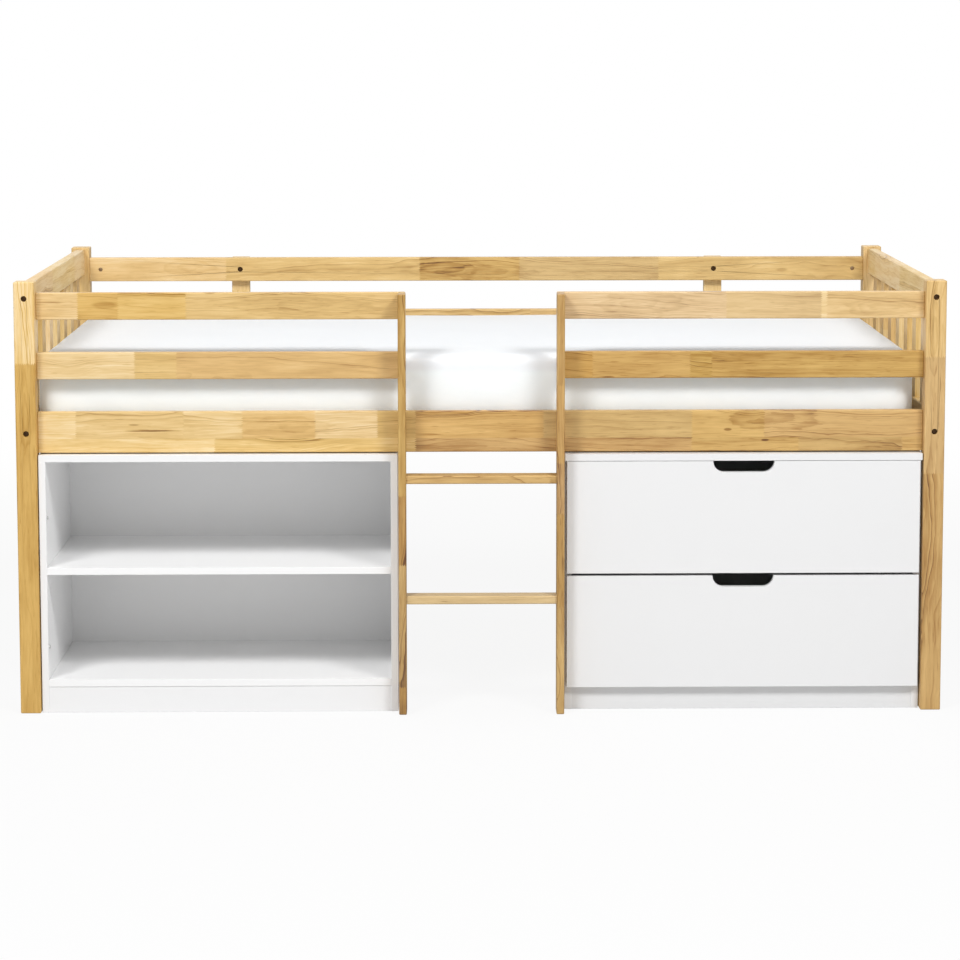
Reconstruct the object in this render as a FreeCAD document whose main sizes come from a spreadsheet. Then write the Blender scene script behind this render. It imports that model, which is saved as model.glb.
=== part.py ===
import FreeCAD, Part
import math
import os
import Sketcher

# Mid-height children's bed in clear-finished wood: four posts, slatted ends, guard rails on
# both long sides, a fixed ladder in the gap of the front guards, a slatted deck with a
# mattress, and two white storage units under it: an open bookcase and a chest of two
# drawers on roller runners.
#
# Frame: +X to the right seen from the ladder side, -Y towards the ladder side, +Z up,
# origin on the floor under the middle of the bounding box. Millimetres.

SIZES = (
    ("mattress_length", "1900", "standard single mattress"),
    ("mattress_width", "900", "standard single mattress"),
    ("mattress_end_gap", "8", "mean gap between the mattress and an end rail"),
    ("mattress_side_gap", "4", "gap between the mattress and a side rail"),
    ("post_rise", "25", "post top above the guard rails"),
    ("post_section", "43.5", "side of the square posts"),
    ("rail_thickness", "20.5", "all rails of the frame"),
    ("edge_ease", "1.5", "small bevel on every solid wood edge"),
    ("side_rail_bottom", "562", "height of the lower edge of the side rails"),
    ("side_rail_height", "88", "side rails and lower end rails"),
    ("guard_gap", "70", "open height between rails"),
    ("guard_height", "57.5", "guard rails"),
    ("end_top_drop", "4.5", "top end rail below the post tops"),
    ("end_top_height", "62", "top end rails"),
    ("end_slat_width", "50", "upright slats of the ends"),
    ("end_slat_thickness", "12", "upright slats of the ends"),
    ("end_slat_count", "7", "upright slats in each end"),
    ("slat_tenon", "10", "depth of a slat end in its rail"),
    ("tenon_play", "0.2", "clearance of a tenon in its mortise"),
    ("upright_width", "43.5", "uprights behind the back guards"),
    ("upright_place", "579", "middle of an upright from the middle of the bed"),
    ("ledger_width", "25", "ledger that carries the deck slats"),
    ("ledger_height", "25", "ledger that carries the deck slats"),
    ("ledger_drop", "44", "top of the ledger below the top of the side rail"),
    ("ledger_end_gap", "1", "ledger end to the end rail"),
    ("deck_slat_count", "13", "slats under the mattress"),
    ("deck_slat_width", "68", "slats under the mattress"),
    ("deck_slat_thickness", "12", "slats under the mattress"),
    ("deck_slat_first", "20", "end rail to the first deck slat"),
    ("deck_slat_end_gap", "1", "end of a deck slat to the side rail"),
    ("mattress_height", "148", "sides of the mattress"),
    ("mattress_crown", "4", "rise of the top over the edge"),
    ("mattress_corner", "55", "corner radius in plan"),
    ("mattress_edge", "22", "rounding of the long edges"),
    ("mattress_waist", "3", "sides drawn in between the edges"),
    ("mattress_crown_reach", "260", "edge to the level middle of the top"),
    ("mattress_shift", "6", "mattress pushed to the left end"),
    ("soft_gap", "0.3", "mattress to what it lies on"),
    ("ladder_reach", "28", "ladder in front of the posts"),
    ("ladder_width", "354", "over the stiles"),
    ("stile_thickness", "16.5", "ladder stiles"),
    ("guard_end_setback", "1", "guard rail end behind the inner face of the stile"),
    ("rung_depth", "40", "front to back"),
    ("rung_thickness", "17.5", "top to bottom"),
    ("rung_setback", "6", "rung behind the front of the stile"),
    ("rung_rise", "260", "from one rung top to the next"),
    ("lower_rung_top", "257", "floor to the top of the lower rung"),
    ("rung_housing", "5", "depth of a rung end in its stile"),
    ("bolt_head_diameter", "11.5", "frame bolts, over the corners of the head"),
    ("bolt_head_sides", "6", "frame bolts"),
    ("shank_sides", "8", "flats that stand for the thread on shanks and in their bores"),
    ("bolt_head_height", "5", "frame bolts"),
    ("bolt_shank_diameter", "6", "frame bolts"),
    ("bolt_grip", "26", "length of a bolt in the end of a rail"),
    ("bolt_recess_diameter", "12.5", "hole that hides a bolt head"),
    ("bolt_recess_depth", "8", "hole that hides a bolt head"),
    ("bolt_play", "0.2", "clearance all round a bolt or screw shank"),
    ("side_bolt_rise", "22", "side rail bolt above the end rail bolt"),
    ("barrel_diameter", "10", "barrel nuts"),
    ("barrel_length", "14", "barrel nuts"),
    ("barrel_recess", "1.6", "barrel nut below the face of its rail"),
    ("barrel_place", "27", "barrel nut to the post"),
    ("upright_bolt_grip", "18", "length of a bolt in an upright"),
    ("screw_head_diameter", "8", "wood screws"),
    ("screw_head_height", "2.6", "wood screws"),
    ("screw_shank_diameter", "4", "wood screws"),
    ("screw_recess_diameter", "8.6", "recess for a screw head"),
    ("screw_recess_depth", "3", "recess for a screw head"),
    ("ladder_screw_grip", "30", "length of a screw in a stile"),
    ("unit_screw_grip", "20", "length of a screw in a post"),
    ("bookcase_screw_place", "21.75", "screw behind the front of the post"),
    ("chest_screw_place", "33", "screw behind the front of the post"),
    ("unit_screw_low", "141", "height of the lower unit screw"),
    ("unit_screw_high", "421.5", "height of the upper unit screw"),
    ("unit_top_gap", "3", "storage units to the side rail"),
    ("unit_depth", "395", "storage units"),
    ("unit_gap", "2", "storage unit to post and to ladder"),
    ("panel", "15", "panels of the units"),
    ("back_panel", "3", "back panels"),
    ("bookcase_setback", "8", "bookcase front behind the post fronts"),
    ("plinth_setback", "1.5", "plinth behind the panel fronts"),
    ("bookcase_plinth_height", "56.5", "floor to the bottom shelf"),
    ("chest_setback", "5", "drawer fronts behind the post fronts"),
    ("chest_plinth_height", "65", "plinth of the chest"),
    ("front_air", "0.5", "closed drawer front to the edges of the sides"),
    ("front_top_gap", "1", "upper drawer front to the top"),
    ("front_mid_gap", "5.5", "between the drawer fronts"),
    ("front_side_gap", "4.25", "drawer front inside the width of the unit"),
    ("front_height", "243", "drawer fronts"),
    ("notch_width", "131", "handle notch"),
    ("notch_depth", "24", "handle notch"),
    ("notch_radius", "23.5", "lower corners of the handle notch"),
    ("drawer_side_thickness", "12", "sides and back of a drawer"),
    ("drawer_side_height", "160", "sides of a drawer"),
    ("drawer_length", "350", "sides of a drawer"),
    ("drawer_lift", "33.5", "drawer sides above the lower edge of the front"),
    ("drawer_bottom", "4", "bottom panel of a drawer"),
    ("drawer_groove_rise", "12", "groove above the lower edge of the sides"),
    ("drawer_groove_depth", "5", "groove for the bottom panel"),
    ("groove_play", "0.2", "clearance of the bottom panel in its groove"),
    ("runner_length", "346", "roller runners"),
    ("runner_space", "12.5", "drawer side to unit side"),
    ("runner_sheet", "1.2", "steel of the runners"),
    ("channel_height", "22", "runner channel on the unit side"),
    ("channel_width", "10", "runner channel on the unit side"),
    ("channel_front_gap", "3", "runner channel behind the front edge of the side"),
    ("channel_cutaway", "19", "open front end of the channel, for its roller"),
    ("runner_play", "0.3", "between rollers and what they run on"),
    ("runner_ledge", "10", "runner flange under the drawer side"),
    ("runner_foot_rise", "1", "drawer runner above the foot of the channel"),
    ("running_flange_start", "3", "unit side to the edge of the running flange"),
    ("roller_diameter", "16", "nylon rollers"),
    ("roller_width", "7.5", "nylon rollers"),
    ("roller_start", "2", "unit side to the roller"),
    ("roller_pin_diameter", "5", "roller pins"),
    ("roller_pin_play", "0.1", "clearance of a roller on its pin"),
    ("roller_pin_end", "0.4", "pin past the roller"),
    ("roller_end_gap", "9", "roller axle to the end of its runner"),
)

LAYOUT = (
    ("end_rail_in", "=Sizes.mattress_length / 2 + Sizes.mattress_end_gap"),
    ("post_middle", "=end_rail_in + Sizes.rail_thickness / 2"),
    ("end_rail_out", "=end_rail_in + Sizes.rail_thickness"),
    ("half_length", "=post_middle + Sizes.post_section / 2"),
    ("post_in", "=half_length - Sizes.post_section"),
    ("inner_depth", "=Sizes.mattress_width + 2 * Sizes.mattress_side_gap"),
    ("bed_depth", "=inner_depth + 2 * Sizes.post_section"),
    ("post_front", "=(Sizes.ladder_reach - bed_depth) / 2"),
    ("post_back", "=(Sizes.ladder_reach + bed_depth) / 2"),
    ("front_inner", "=post_front + Sizes.post_section"),
    ("back_inner", "=post_back - Sizes.post_section"),
    ("front_rail", "=front_inner - Sizes.rail_thickness"),
    ("front_rail_middle", "=front_inner - Sizes.rail_thickness / 2"),
    ("back_rail_middle", "=back_inner + Sizes.rail_thickness / 2"),
    ("side_rail_top", "=Sizes.side_rail_bottom + Sizes.side_rail_height"),
    ("side_rail_middle", "=Sizes.side_rail_bottom + Sizes.side_rail_height / 2"),
    ("side_bolt_height", "=side_rail_middle + Sizes.side_bolt_rise"),
    ("middle_guard", "=side_rail_top + Sizes.guard_gap"),
    ("middle_guard_middle", "=middle_guard + Sizes.guard_height / 2"),
    ("upper_guard", "=middle_guard + Sizes.guard_height + Sizes.guard_gap"),
    ("upper_guard_middle", "=upper_guard + Sizes.guard_height / 2"),
    ("guard_top", "=upper_guard + Sizes.guard_height"),
    ("bed_height", "=guard_top + Sizes.post_rise"),
    ("end_top_bottom", "=bed_height - Sizes.end_top_drop - Sizes.end_top_height"),
    ("end_top_middle", "=end_top_bottom + Sizes.end_top_height / 2"),
    ("end_slat_wood", "=Sizes.end_slat_count * Sizes.end_slat_width"),
    ("end_slat_gap", "=(inner_depth - end_slat_wood) / (Sizes.end_slat_count + 1)"),
    ("end_slat_pitch", "=end_slat_gap + Sizes.end_slat_width"),
    ("end_slat_foot", "=side_rail_top - Sizes.slat_tenon"),
    ("end_slat_length", "=end_top_bottom - side_rail_top + 2 * Sizes.slat_tenon"),
    ("ledger_top", "=side_rail_top - Sizes.ledger_drop"),
    ("ledger_length", "=2 * (end_rail_in - Sizes.ledger_end_gap)"),
    ("deck_top", "=ledger_top + Sizes.deck_slat_thickness"),
    ("deck_span", "=2 * end_rail_in - 2 * Sizes.deck_slat_first - Sizes.deck_slat_width"),
    ("stile_out", "=Sizes.ladder_width / 2"),
    ("stile_in", "=Sizes.ladder_width / 2 - Sizes.stile_thickness"),
    ("stile_middle", "=Sizes.ladder_width / 2 - Sizes.stile_thickness / 2"),
    ("ladder_front", "=post_front - Sizes.ladder_reach"),
    ("stile_depth", "=front_rail - ladder_front"),
    ("front_guard_in", "=stile_in + Sizes.guard_end_setback"),
    ("front_guard_length", "=post_in - front_guard_in"),
    ("upright_depth", "=Sizes.post_section - Sizes.rail_thickness"),
    ("unit_out", "=post_in - Sizes.unit_gap"),
    ("unit_in", "=stile_out + Sizes.unit_gap"),
    ("unit_width", "=unit_out - unit_in"),
    ("unit_middle", "=(unit_out + unit_in) / 2"),
    ("unit_inner_width", "=unit_width - 2 * Sizes.panel"),
    ("unit_height", "=Sizes.side_rail_bottom - Sizes.unit_top_gap"),
    ("side_height", "=unit_height - Sizes.panel"),
    ("bookcase_front", "=post_front + Sizes.bookcase_setback"),
    ("shelf_depth", "=Sizes.unit_depth - Sizes.back_panel"),
    ("bottom_shelf_top", "=Sizes.bookcase_plinth_height + Sizes.panel"),
    ("middle_shelf_foot", "=(bottom_shelf_top + side_height - Sizes.panel) / 2"),
    ("chest_front", "=post_front + Sizes.chest_setback"),
    ("chest_side_front", "=chest_front + Sizes.panel + Sizes.front_air"),
    ("chest_side_depth", "=shelf_depth - Sizes.panel - Sizes.front_air"),
    ("drawer_pitch", "=Sizes.front_height + Sizes.front_mid_gap"),
    ("lower_front_foot", "=side_height - Sizes.front_top_gap - Sizes.front_height - drawer_pitch"),
    ("upper_front_foot", "=lower_front_foot + drawer_pitch"),
    ("front_width", "=unit_width - 2 * Sizes.front_side_gap"),
    ("box_half", "=unit_inner_width / 2 - Sizes.runner_space"),
    ("box_front", "=chest_front + Sizes.panel"),
    ("lower_box_foot", "=lower_front_foot + Sizes.drawer_lift"),
    ("upper_box_foot", "=upper_front_foot + Sizes.drawer_lift"),
    ("foot_to_box", "=Sizes.runner_foot_rise + Sizes.runner_sheet"),
    ("channel_front", "=chest_side_front + Sizes.channel_front_gap"),
    ("roller_radius", "=Sizes.roller_diameter / 2"),
    ("fixed_roller_rise", "=Sizes.channel_height - roller_radius"),
    ("fixed_roller_y", "=channel_front + Sizes.roller_end_gap"),
    ("riding_roller_rise", "=Sizes.runner_sheet + Sizes.runner_play + roller_radius"),
    ("riding_roller_y", "=box_front + Sizes.runner_length - Sizes.roller_end_gap"),
)

doc = FreeCAD.newDocument("MidSleeperBed")
subparts = []


def fill_sheet(name, rows):
    """A sheet with one named cell per row."""
    sheet = doc.addObject("Spreadsheet::Sheet", name)
    for line, row in enumerate(rows, 1):
        alias, content = row[:2]
        sheet.set(f"A{line}", alias)
        sheet.set(f"B{line}", content)
        sheet.setAlias(f"B{line}", alias)
        if len(row) > 2:
            sheet.set(f"C{line}", row[2])
    doc.recompute()
    return sheet


sizes = fill_sheet("Sizes", SIZES)
layout = fill_sheet("Layout", LAYOUT)
spare = doc.addObject("Spreadsheet::Sheet", "Spare")


def size(alias):
    """Value of a driving size, in millimetres."""
    return float(sizes.get(alias))


def place(alias):
    """Value of a worked-out place or length, in millimetres."""
    return float(layout.get(alias))


def vector(x, y, z):
    return FreeCAD.Vector(x, y, z)


def set_place(item, x="0", y="0", z="0"):
    """Bind the item's position to three expressions."""
    for axis, expression in zip("xyz", (x, y, z)):
        item.setExpression(f"Placement.Base.{axis}", expression)


def new_body(label, x="0", y="0", z="0"):
    """An empty body for one sub-part, with its corner or centre at the given place."""
    body = doc.addObject("PartDesign::Body", label)
    body.Label = label
    body.AllowCompound = True
    set_place(body, x, y, z)
    subparts.append(body)
    return body


def origin_item(body, role):
    """The body's own plane or axis with that role."""
    return [item for item in body.Origin.OriginFeatures if item.Role == role][0]


def new_sketch(body, role, offset="0"):
    """A sketch on one of the body's planes, moved along the plane's normal."""
    sketch = body.newObject("Sketcher::SketchObject", "Profile")
    sketch.AttachmentSupport = [(origin_item(body, role), "")]
    sketch.MapMode = "FlatFace"
    sketch.setExpression("AttachmentOffset.Base.z", offset)
    return sketch


def bind(sketch, kind, items, expression, start=1.0):
    """A dimension of the sketch, bound to an expression."""
    index = sketch.addConstraint(Sketcher.Constraint(kind, *items, start))
    sketch.setExpression(f"Constraints[{index}]", expression)


def polygon(sketch, points):
    """A closed outline through points given as pairs of expressions.

    Each corner is held by its two distances from the sketch's origin, and a coordinate
    written "0" lies on the axis.
    """
    values = [[evaluate(u), evaluate(v)] for u, v in points]
    first = sketch.GeometryCount
    count = len(points)
    for i in range(count):
        start = vector(*values[i], 0)
        end = vector(*values[(i + 1) % count], 0)
        sketch.addGeometry(Part.LineSegment(start, end))
    for i in range(count):
        sketch.addConstraint(Sketcher.Constraint("Coincident", first + i, 2, first + (i + 1) % count, 1))
    for i, (u, v) in enumerate(points):
        hold_point(sketch, first + i, 1, u, v)


def hold_point(sketch, index, end, u, v):
    """Hold one point of the sketch at two expressions, measured from its origin."""
    for kind, axis, expression in (("DistanceX", -2, u), ("DistanceY", -1, v)):
        if expression == "0":
            sketch.addConstraint(Sketcher.Constraint("PointOnObject", index, end, axis))
        else:
            bind(sketch, kind, (-1, 1, index, end), expression, evaluate(expression))


known = {"0": 0.0}


def evaluate(expression):
    """Number that an expression gives, read back from a cell of the spare sheet."""
    if expression not in known:
        spare.set("A1", "=" + expression)
        spare.recompute()
        known[expression] = float(spare.get("A1"))
    return known[expression]


def rectangle(sketch, left, bottom, right, top):
    """A rectangle between four expressions."""
    polygon(sketch, ((left, bottom), (right, bottom), (right, top), (left, top)))


def pad(body, sketch, length, reverse=False):
    """Raise the sketch by a length along its normal, or against it."""
    feature = body.newObject("PartDesign::Pad", "Pad")
    feature.Profile = sketch
    feature.setExpression("Length", length)
    feature.Reversed = reverse
    doc.recompute()
    return feature


def ease_edges(body, feature, amount="Sizes.edge_ease"):
    """A small bevel on every edge of a feature."""
    bevel = body.newObject("PartDesign::Chamfer", "Ease")
    bevel.Base = (feature, [f"Edge{i + 1}" for i in range(len(feature.Shape.Edges))])
    bevel.setExpression("Size", amount)
    doc.recompute()
    return bevel


# For each side of a board: its plane, the offset along the plane's normal in terms of the
# board's three sizes, and whether a cut into the wood runs along that normal.
FACES = {
    "front": ("XZ_Plane", "0", False),
    "back": ("XZ_Plane", "-({y})", True),
    "left": ("YZ_Plane", "0", True),
    "right": ("YZ_Plane", "{x}", False),
    "bottom": ("XY_Plane", "0", True),
    "top": ("XY_Plane", "{z}", False),
}


class Board:
    """A straight board with its low corner at the body's origin."""

    def __init__(self, label, lengths, corner, eased=True):
        self.lengths = lengths
        self.body = new_body(label, *corner)
        sketch = new_sketch(self.body, "XY_Plane")
        rectangle(sketch, "0", "0", lengths[0], lengths[1])
        feature = pad(self.body, sketch, lengths[2])
        if eased:
            ease_edges(self.body, feature)

    def find_face(self, face):
        """The face's plane, its offset, and whether a cut runs along the plane's normal."""
        role, offset, along = FACES[face]
        x, y, z = self.lengths
        return role, offset.format(x=x, y=y, z=z), along

    def recess(self, face, centres):
        """Round flat-bottomed recesses that hide bolt heads."""
        before = self.body.Shape.Volume
        role, offset, along = self.find_face(face)
        sketch = new_sketch(self.body, role, offset)
        radius = "Sizes.bolt_recess_diameter / 2"
        for u, v in centres:
            middle = vector(evaluate(u), evaluate(v), 0)
            index = sketch.addGeometry(Part.Circle(middle, vector(0, 0, 1), evaluate(radius)))
            bind(sketch, "Radius", (index,), radius, evaluate(radius))
            hold_point(sketch, index, 3, u, v)
        pocket = self.body.newObject("PartDesign::Pocket", "Recess")
        pocket.Profile = sketch
        pocket.setExpression("Length", "Sizes.bolt_recess_depth")
        pocket.Reversed = along
        doc.recompute()
        self.check_cut(before)

    def drill(self, face, centres, diameter, depth):
        """Bores from one face, with the same few flats as the shanks that they hold."""
        role, offset, along = self.find_face(face)
        for u, v in centres:
            before = self.body.Shape.Volume
            bore = self.body.newObject("PartDesign::SubtractivePrism", "Bore")
            bore.AttachmentSupport = [(origin_item(self.body, role), "")]
            bore.MapMode = "FlatFace"
            if not along:
                turned = FreeCAD.Rotation(vector(1, 0, 0), 180)
                bore.AttachmentOffset = FreeCAD.Placement(vector(0, 0, 0), turned)
            for axis, expression in zip("xyz", (u, v, offset)):
                bore.setExpression(f"AttachmentOffset.Base.{axis}", expression)
            bore.setExpression("Polygon", "Sizes.shank_sides")
            bore.setExpression("Circumradius", f"({diameter}) / 2")
            bore.setExpression("Height", depth)
            doc.recompute()
            self.check_cut(before)

    def mortise(self, face, left, bottom, right, top, depth):
        """A rectangular pocket in one face."""
        before = self.body.Shape.Volume
        role, offset, along = self.find_face(face)
        sketch = new_sketch(self.body, role, offset)
        rectangle(sketch, left, bottom, right, top)
        pocket = self.body.newObject("PartDesign::Pocket", "Mortise")
        pocket.Profile = sketch
        pocket.setExpression("Length", depth)
        pocket.Reversed = along
        doc.recompute()
        self.check_cut(before)
        return pocket

    def check_cut(self, before):
        if not self.body.Shape.Volume < before:
            raise ValueError("a cut in " + self.body.Label + " removes nothing")


def repeat(body, feature, axis, span, count):
    """Copies of a feature in a row along one of the body's axes."""
    row = body.newObject("PartDesign::LinearPattern", "Row")
    row.Originals = [feature]
    row.Direction = (origin_item(body, axis), [""])
    row.setExpression("Length", span)
    row.setExpression("Occurrences", count)
    body.Tip = row
    doc.recompute()
    return row


BOLT_BORE = "Sizes.bolt_shank_diameter + 2 * Sizes.bolt_play"
SCREW_BORE = "Sizes.screw_shank_diameter + 2 * Sizes.bolt_play"
GUARD_HEIGHTS = ("Layout.middle_guard_middle", "Layout.upper_guard_middle")


def make_post(label, x_side, y_side):
    """A square post with the recessed holes of the bolts that reach the rails.

    x_side and y_side are "low" or "high": the outer sides of the post at its corner.
    """
    section = "Sizes.post_section"
    corner_x = "-Layout.half_length" if x_side == "low" else "Layout.post_in"
    corner_y = "Layout.post_front" if y_side == "low" else "Layout.back_inner"
    post = Board(label, (section, section, "Layout.bed_height"), (corner_x, corner_y, "0"))
    middle = "Sizes.post_section / 2"
    face = "front" if y_side == "low" else "back"
    centres = ((middle, "Layout.side_rail_middle"), (middle, "Layout.end_top_middle"))
    post.recess(face, centres)
    post.drill(face, centres, BOLT_BORE, section)
    rail_middle = "Sizes.rail_thickness / 2"
    row = f"{section} - {rail_middle}" if y_side == "low" else rail_middle
    face = "left" if x_side == "low" else "right"
    centres = [(row, height) for height in ("Layout.side_bolt_height",) + GUARD_HEIGHTS]
    post.recess(face, centres)
    post.drill(face, centres, BOLT_BORE, section)
    if y_side == "low":
        across = "Sizes.bookcase_screw_place" if x_side == "low" else "Sizes.chest_screw_place"
        post.drill(
            "right" if x_side == "low" else "left",
            ((across, "Sizes.unit_screw_low"), (across, "Sizes.unit_screw_high")),
            SCREW_BORE,
            "Sizes.unit_screw_grip",
        )


def add_end_bolts(rail, faces, height):
    """Bores for the bolts that hold the ends of a rail, and the barrel nuts' holes."""
    thickness = rail.lengths[1]
    for face in faces:
        rail.drill(face, ((f"({thickness}) / 2", height),), BOLT_BORE, "Sizes.bolt_grip")


def add_barrel_holes(rail, inner_face, ends, height):
    """Blind holes in the inner face for the barrel nuts near the ends."""
    depth = "Sizes.barrel_recess + Sizes.barrel_length"
    places = {"left": "Sizes.barrel_place", "right": f"({rail.lengths[0]}) - Sizes.barrel_place"}
    centres = [(places[end], height) for end in ends]
    rail.drill(inner_face, centres, "Sizes.barrel_diameter + 2 * Sizes.bolt_play", depth)


def add_screw_holes(rail, face, centres):
    """Holes through a rail for wood screws, with a recess for each head."""
    rail.drill(face, centres, SCREW_BORE, "Sizes.rail_thickness")
    rail.drill(face, centres, "Sizes.screw_recess_diameter", "Sizes.screw_recess_depth")


def make_long_rail(label, front, height, foot):
    """A rail from post to post on one long side."""
    depth_place = "Layout.front_rail" if front else "Layout.back_inner"
    inner_face = "back" if front else "front"
    lengths = ("2 * Layout.post_in", "Sizes.rail_thickness", height)
    rail = Board(label, lengths, ("-Layout.post_in", depth_place, foot))
    bolt = f"({height}) / 2"
    if height == "Sizes.side_rail_height":
        bolt += " + Sizes.side_bolt_rise"
    add_end_bolts(rail, ("left", "right"), bolt)
    add_barrel_holes(rail, inner_face, ("left", "right"), bolt)
    middle = "Layout.post_in"
    if front:
        places = (f"{middle} - Layout.stile_middle", f"{middle} + Layout.stile_middle")
        add_screw_holes(rail, inner_face, [(u, f"({height}) / 2") for u in places])
    else:
        places = (f"{middle} - Sizes.upright_place", f"{middle} + Sizes.upright_place")
        centres = [(u, f"({height}) / 2") for u in places]
        rail.recess(inner_face, centres)
        rail.drill(inner_face, centres, BOLT_BORE, "Sizes.rail_thickness")


def make_front_guard(label, left_side, foot):
    """A short guard rail from a front post to the ladder."""
    corner = "-Layout.post_in" if left_side else "Layout.front_guard_in"
    lengths = ("Layout.front_guard_length", "Sizes.rail_thickness", "Sizes.guard_height")
    rail = Board(label, lengths, (corner, "Layout.front_rail", foot))
    middle = "Sizes.guard_height / 2"
    post_end = "left" if left_side else "right"
    add_end_bolts(rail, (post_end,), middle)
    add_barrel_holes(rail, "back", (post_end,), middle)
    from_end = "(Layout.stile_middle - Layout.front_guard_in)"
    screw = f"Layout.front_guard_length - {from_end}" if left_side else from_end
    add_screw_holes(rail, "back", ((screw, middle),))


def make_end_rail(label, left_side, is_top):
    """A rail of one end, with a mortise for each upright slat."""
    height = "Sizes.end_top_height" if is_top else "Sizes.side_rail_height"
    foot = "Layout.end_top_bottom" if is_top else "Sizes.side_rail_bottom"
    slat_face = "bottom" if is_top else "top"
    corner = "-Layout.end_rail_out" if left_side else "Layout.end_rail_in"
    lengths = ("Sizes.rail_thickness", "Layout.inner_depth", height)
    rail = Board(label, lengths, (corner, "Layout.front_inner", foot))
    for face in ("front", "back"):
        rail.drill(face, (("Sizes.rail_thickness / 2", f"({height}) / 2"),), BOLT_BORE, "Sizes.bolt_grip")
    half = "(Sizes.end_slat_thickness / 2 + Sizes.tenon_play)"
    first = "Layout.end_slat_gap - Sizes.tenon_play"
    last = "Layout.end_slat_gap + Sizes.end_slat_width + Sizes.tenon_play"
    mortise = rail.mortise(
        slat_face,
        f"Sizes.rail_thickness / 2 - {half}",
        first,
        f"Sizes.rail_thickness / 2 + {half}",
        last,
        "Sizes.slat_tenon",
    )
    span = "(Sizes.end_slat_count - 1) * Layout.end_slat_pitch"
    repeat(rail.body, mortise, "Y_Axis", span, "Sizes.end_slat_count")


def make_end_slats(label, left_side):
    """The row of upright slats of one end."""
    half = "Sizes.end_slat_thickness / 2"
    corner = f"-Layout.post_middle - {half}" if left_side else f"Layout.post_middle - {half}"
    body = new_body(label, corner, "Layout.front_inner + Layout.end_slat_gap", "Layout.end_slat_foot")
    sketch = new_sketch(body, "XY_Plane")
    rectangle(sketch, "0", "0", "Sizes.end_slat_thickness", "Sizes.end_slat_width")
    slat = pad(body, sketch, "Layout.end_slat_length")
    span = "(Sizes.end_slat_count - 1) * Layout.end_slat_pitch"
    repeat(body, slat, "Y_Axis", span, "Sizes.end_slat_count")


def make_upright(label, left_side):
    """A short upright behind the back rails, from the side rail to the upper guard."""
    half = "Sizes.upright_width / 2"
    corner = f"-Sizes.upright_place - {half}" if left_side else f"Sizes.upright_place - {half}"
    lengths = ("Sizes.upright_width", "Layout.upright_depth", "Layout.guard_top - Sizes.side_rail_bottom")
    corner_y = "Layout.back_inner + Sizes.rail_thickness"
    upright = Board(label, lengths, (corner, corner_y, "Sizes.side_rail_bottom"))
    heights = ("Layout.side_rail_middle",) + GUARD_HEIGHTS
    centres = [(half, f"{height} - Sizes.side_rail_bottom") for height in heights]
    upright.drill("front", centres, BOLT_BORE, "Sizes.upright_bolt_grip")


def make_deck():
    """The ledgers on the side rails and the slats that lie on them."""
    body = new_body("slat_ledgers", "-Layout.ledger_length / 2", "Layout.front_inner",
                    "Layout.ledger_top - Sizes.ledger_height")
    sketch = new_sketch(body, "XY_Plane")
    rectangle(sketch, "0", "0", "Layout.ledger_length", "Sizes.ledger_width")
    ledger = pad(body, sketch, "Sizes.ledger_height")
    repeat(body, ledger, "Y_Axis", "Layout.inner_depth - Sizes.ledger_width", "2")

    slat_length = "Layout.inner_depth - 2 * Sizes.deck_slat_end_gap"
    body = new_body(
        "deck_slats",
        "-Layout.end_rail_in + Sizes.deck_slat_first",
        "Layout.front_inner + Sizes.deck_slat_end_gap",
        "Layout.ledger_top",
    )
    sketch = new_sketch(body, "XY_Plane")
    rectangle(sketch, "0", "0", "Sizes.deck_slat_width", slat_length)
    slat = pad(body, sketch, "Sizes.deck_slat_thickness")
    repeat(body, slat, "X_Axis", "Layout.deck_span", "Sizes.deck_slat_count")


def make_ladder():
    """Two stiles on edge in front of the rails, with two flat rungs housed in them."""
    rung_heights = {
        "ladder_lower_rung": "Sizes.lower_rung_top - Sizes.rung_thickness",
        "ladder_upper_rung": "Sizes.lower_rung_top - Sizes.rung_thickness + Sizes.rung_rise",
    }
    for label, corner, inner_face, across in (
        ("ladder_left_stile", "-Layout.stile_out", "right", "Sizes.stile_thickness / 2"),
        ("ladder_right_stile", "Layout.stile_in", "left", "Sizes.stile_thickness / 2"),
    ):
        lengths = ("Sizes.stile_thickness", "Layout.stile_depth", "Layout.guard_top")
        stile = Board(label, lengths, (corner, "Layout.ladder_front", "0"))
        for foot in rung_heights.values():
            stile.mortise(
                inner_face,
                "Sizes.rung_setback - Sizes.tenon_play",
                f"{foot} - Sizes.tenon_play",
                "Sizes.rung_setback + Sizes.rung_depth + Sizes.tenon_play",
                f"{foot} + Sizes.rung_thickness + Sizes.tenon_play",
                "Sizes.rung_housing",
            )
        heights = ("Layout.side_rail_middle",) + GUARD_HEIGHTS
        stile.drill("back", [(across, height) for height in heights], SCREW_BORE,
                    "Sizes.ladder_screw_grip")
    for label, foot in rung_heights.items():
        lengths = ("2 * (Layout.stile_in + Sizes.rung_housing)", "Sizes.rung_depth", "Sizes.rung_thickness")
        corner = ("-Layout.stile_in - Sizes.rung_housing", "Layout.ladder_front + Sizes.rung_setback", foot)
        Board(label, lengths, corner)


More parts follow.
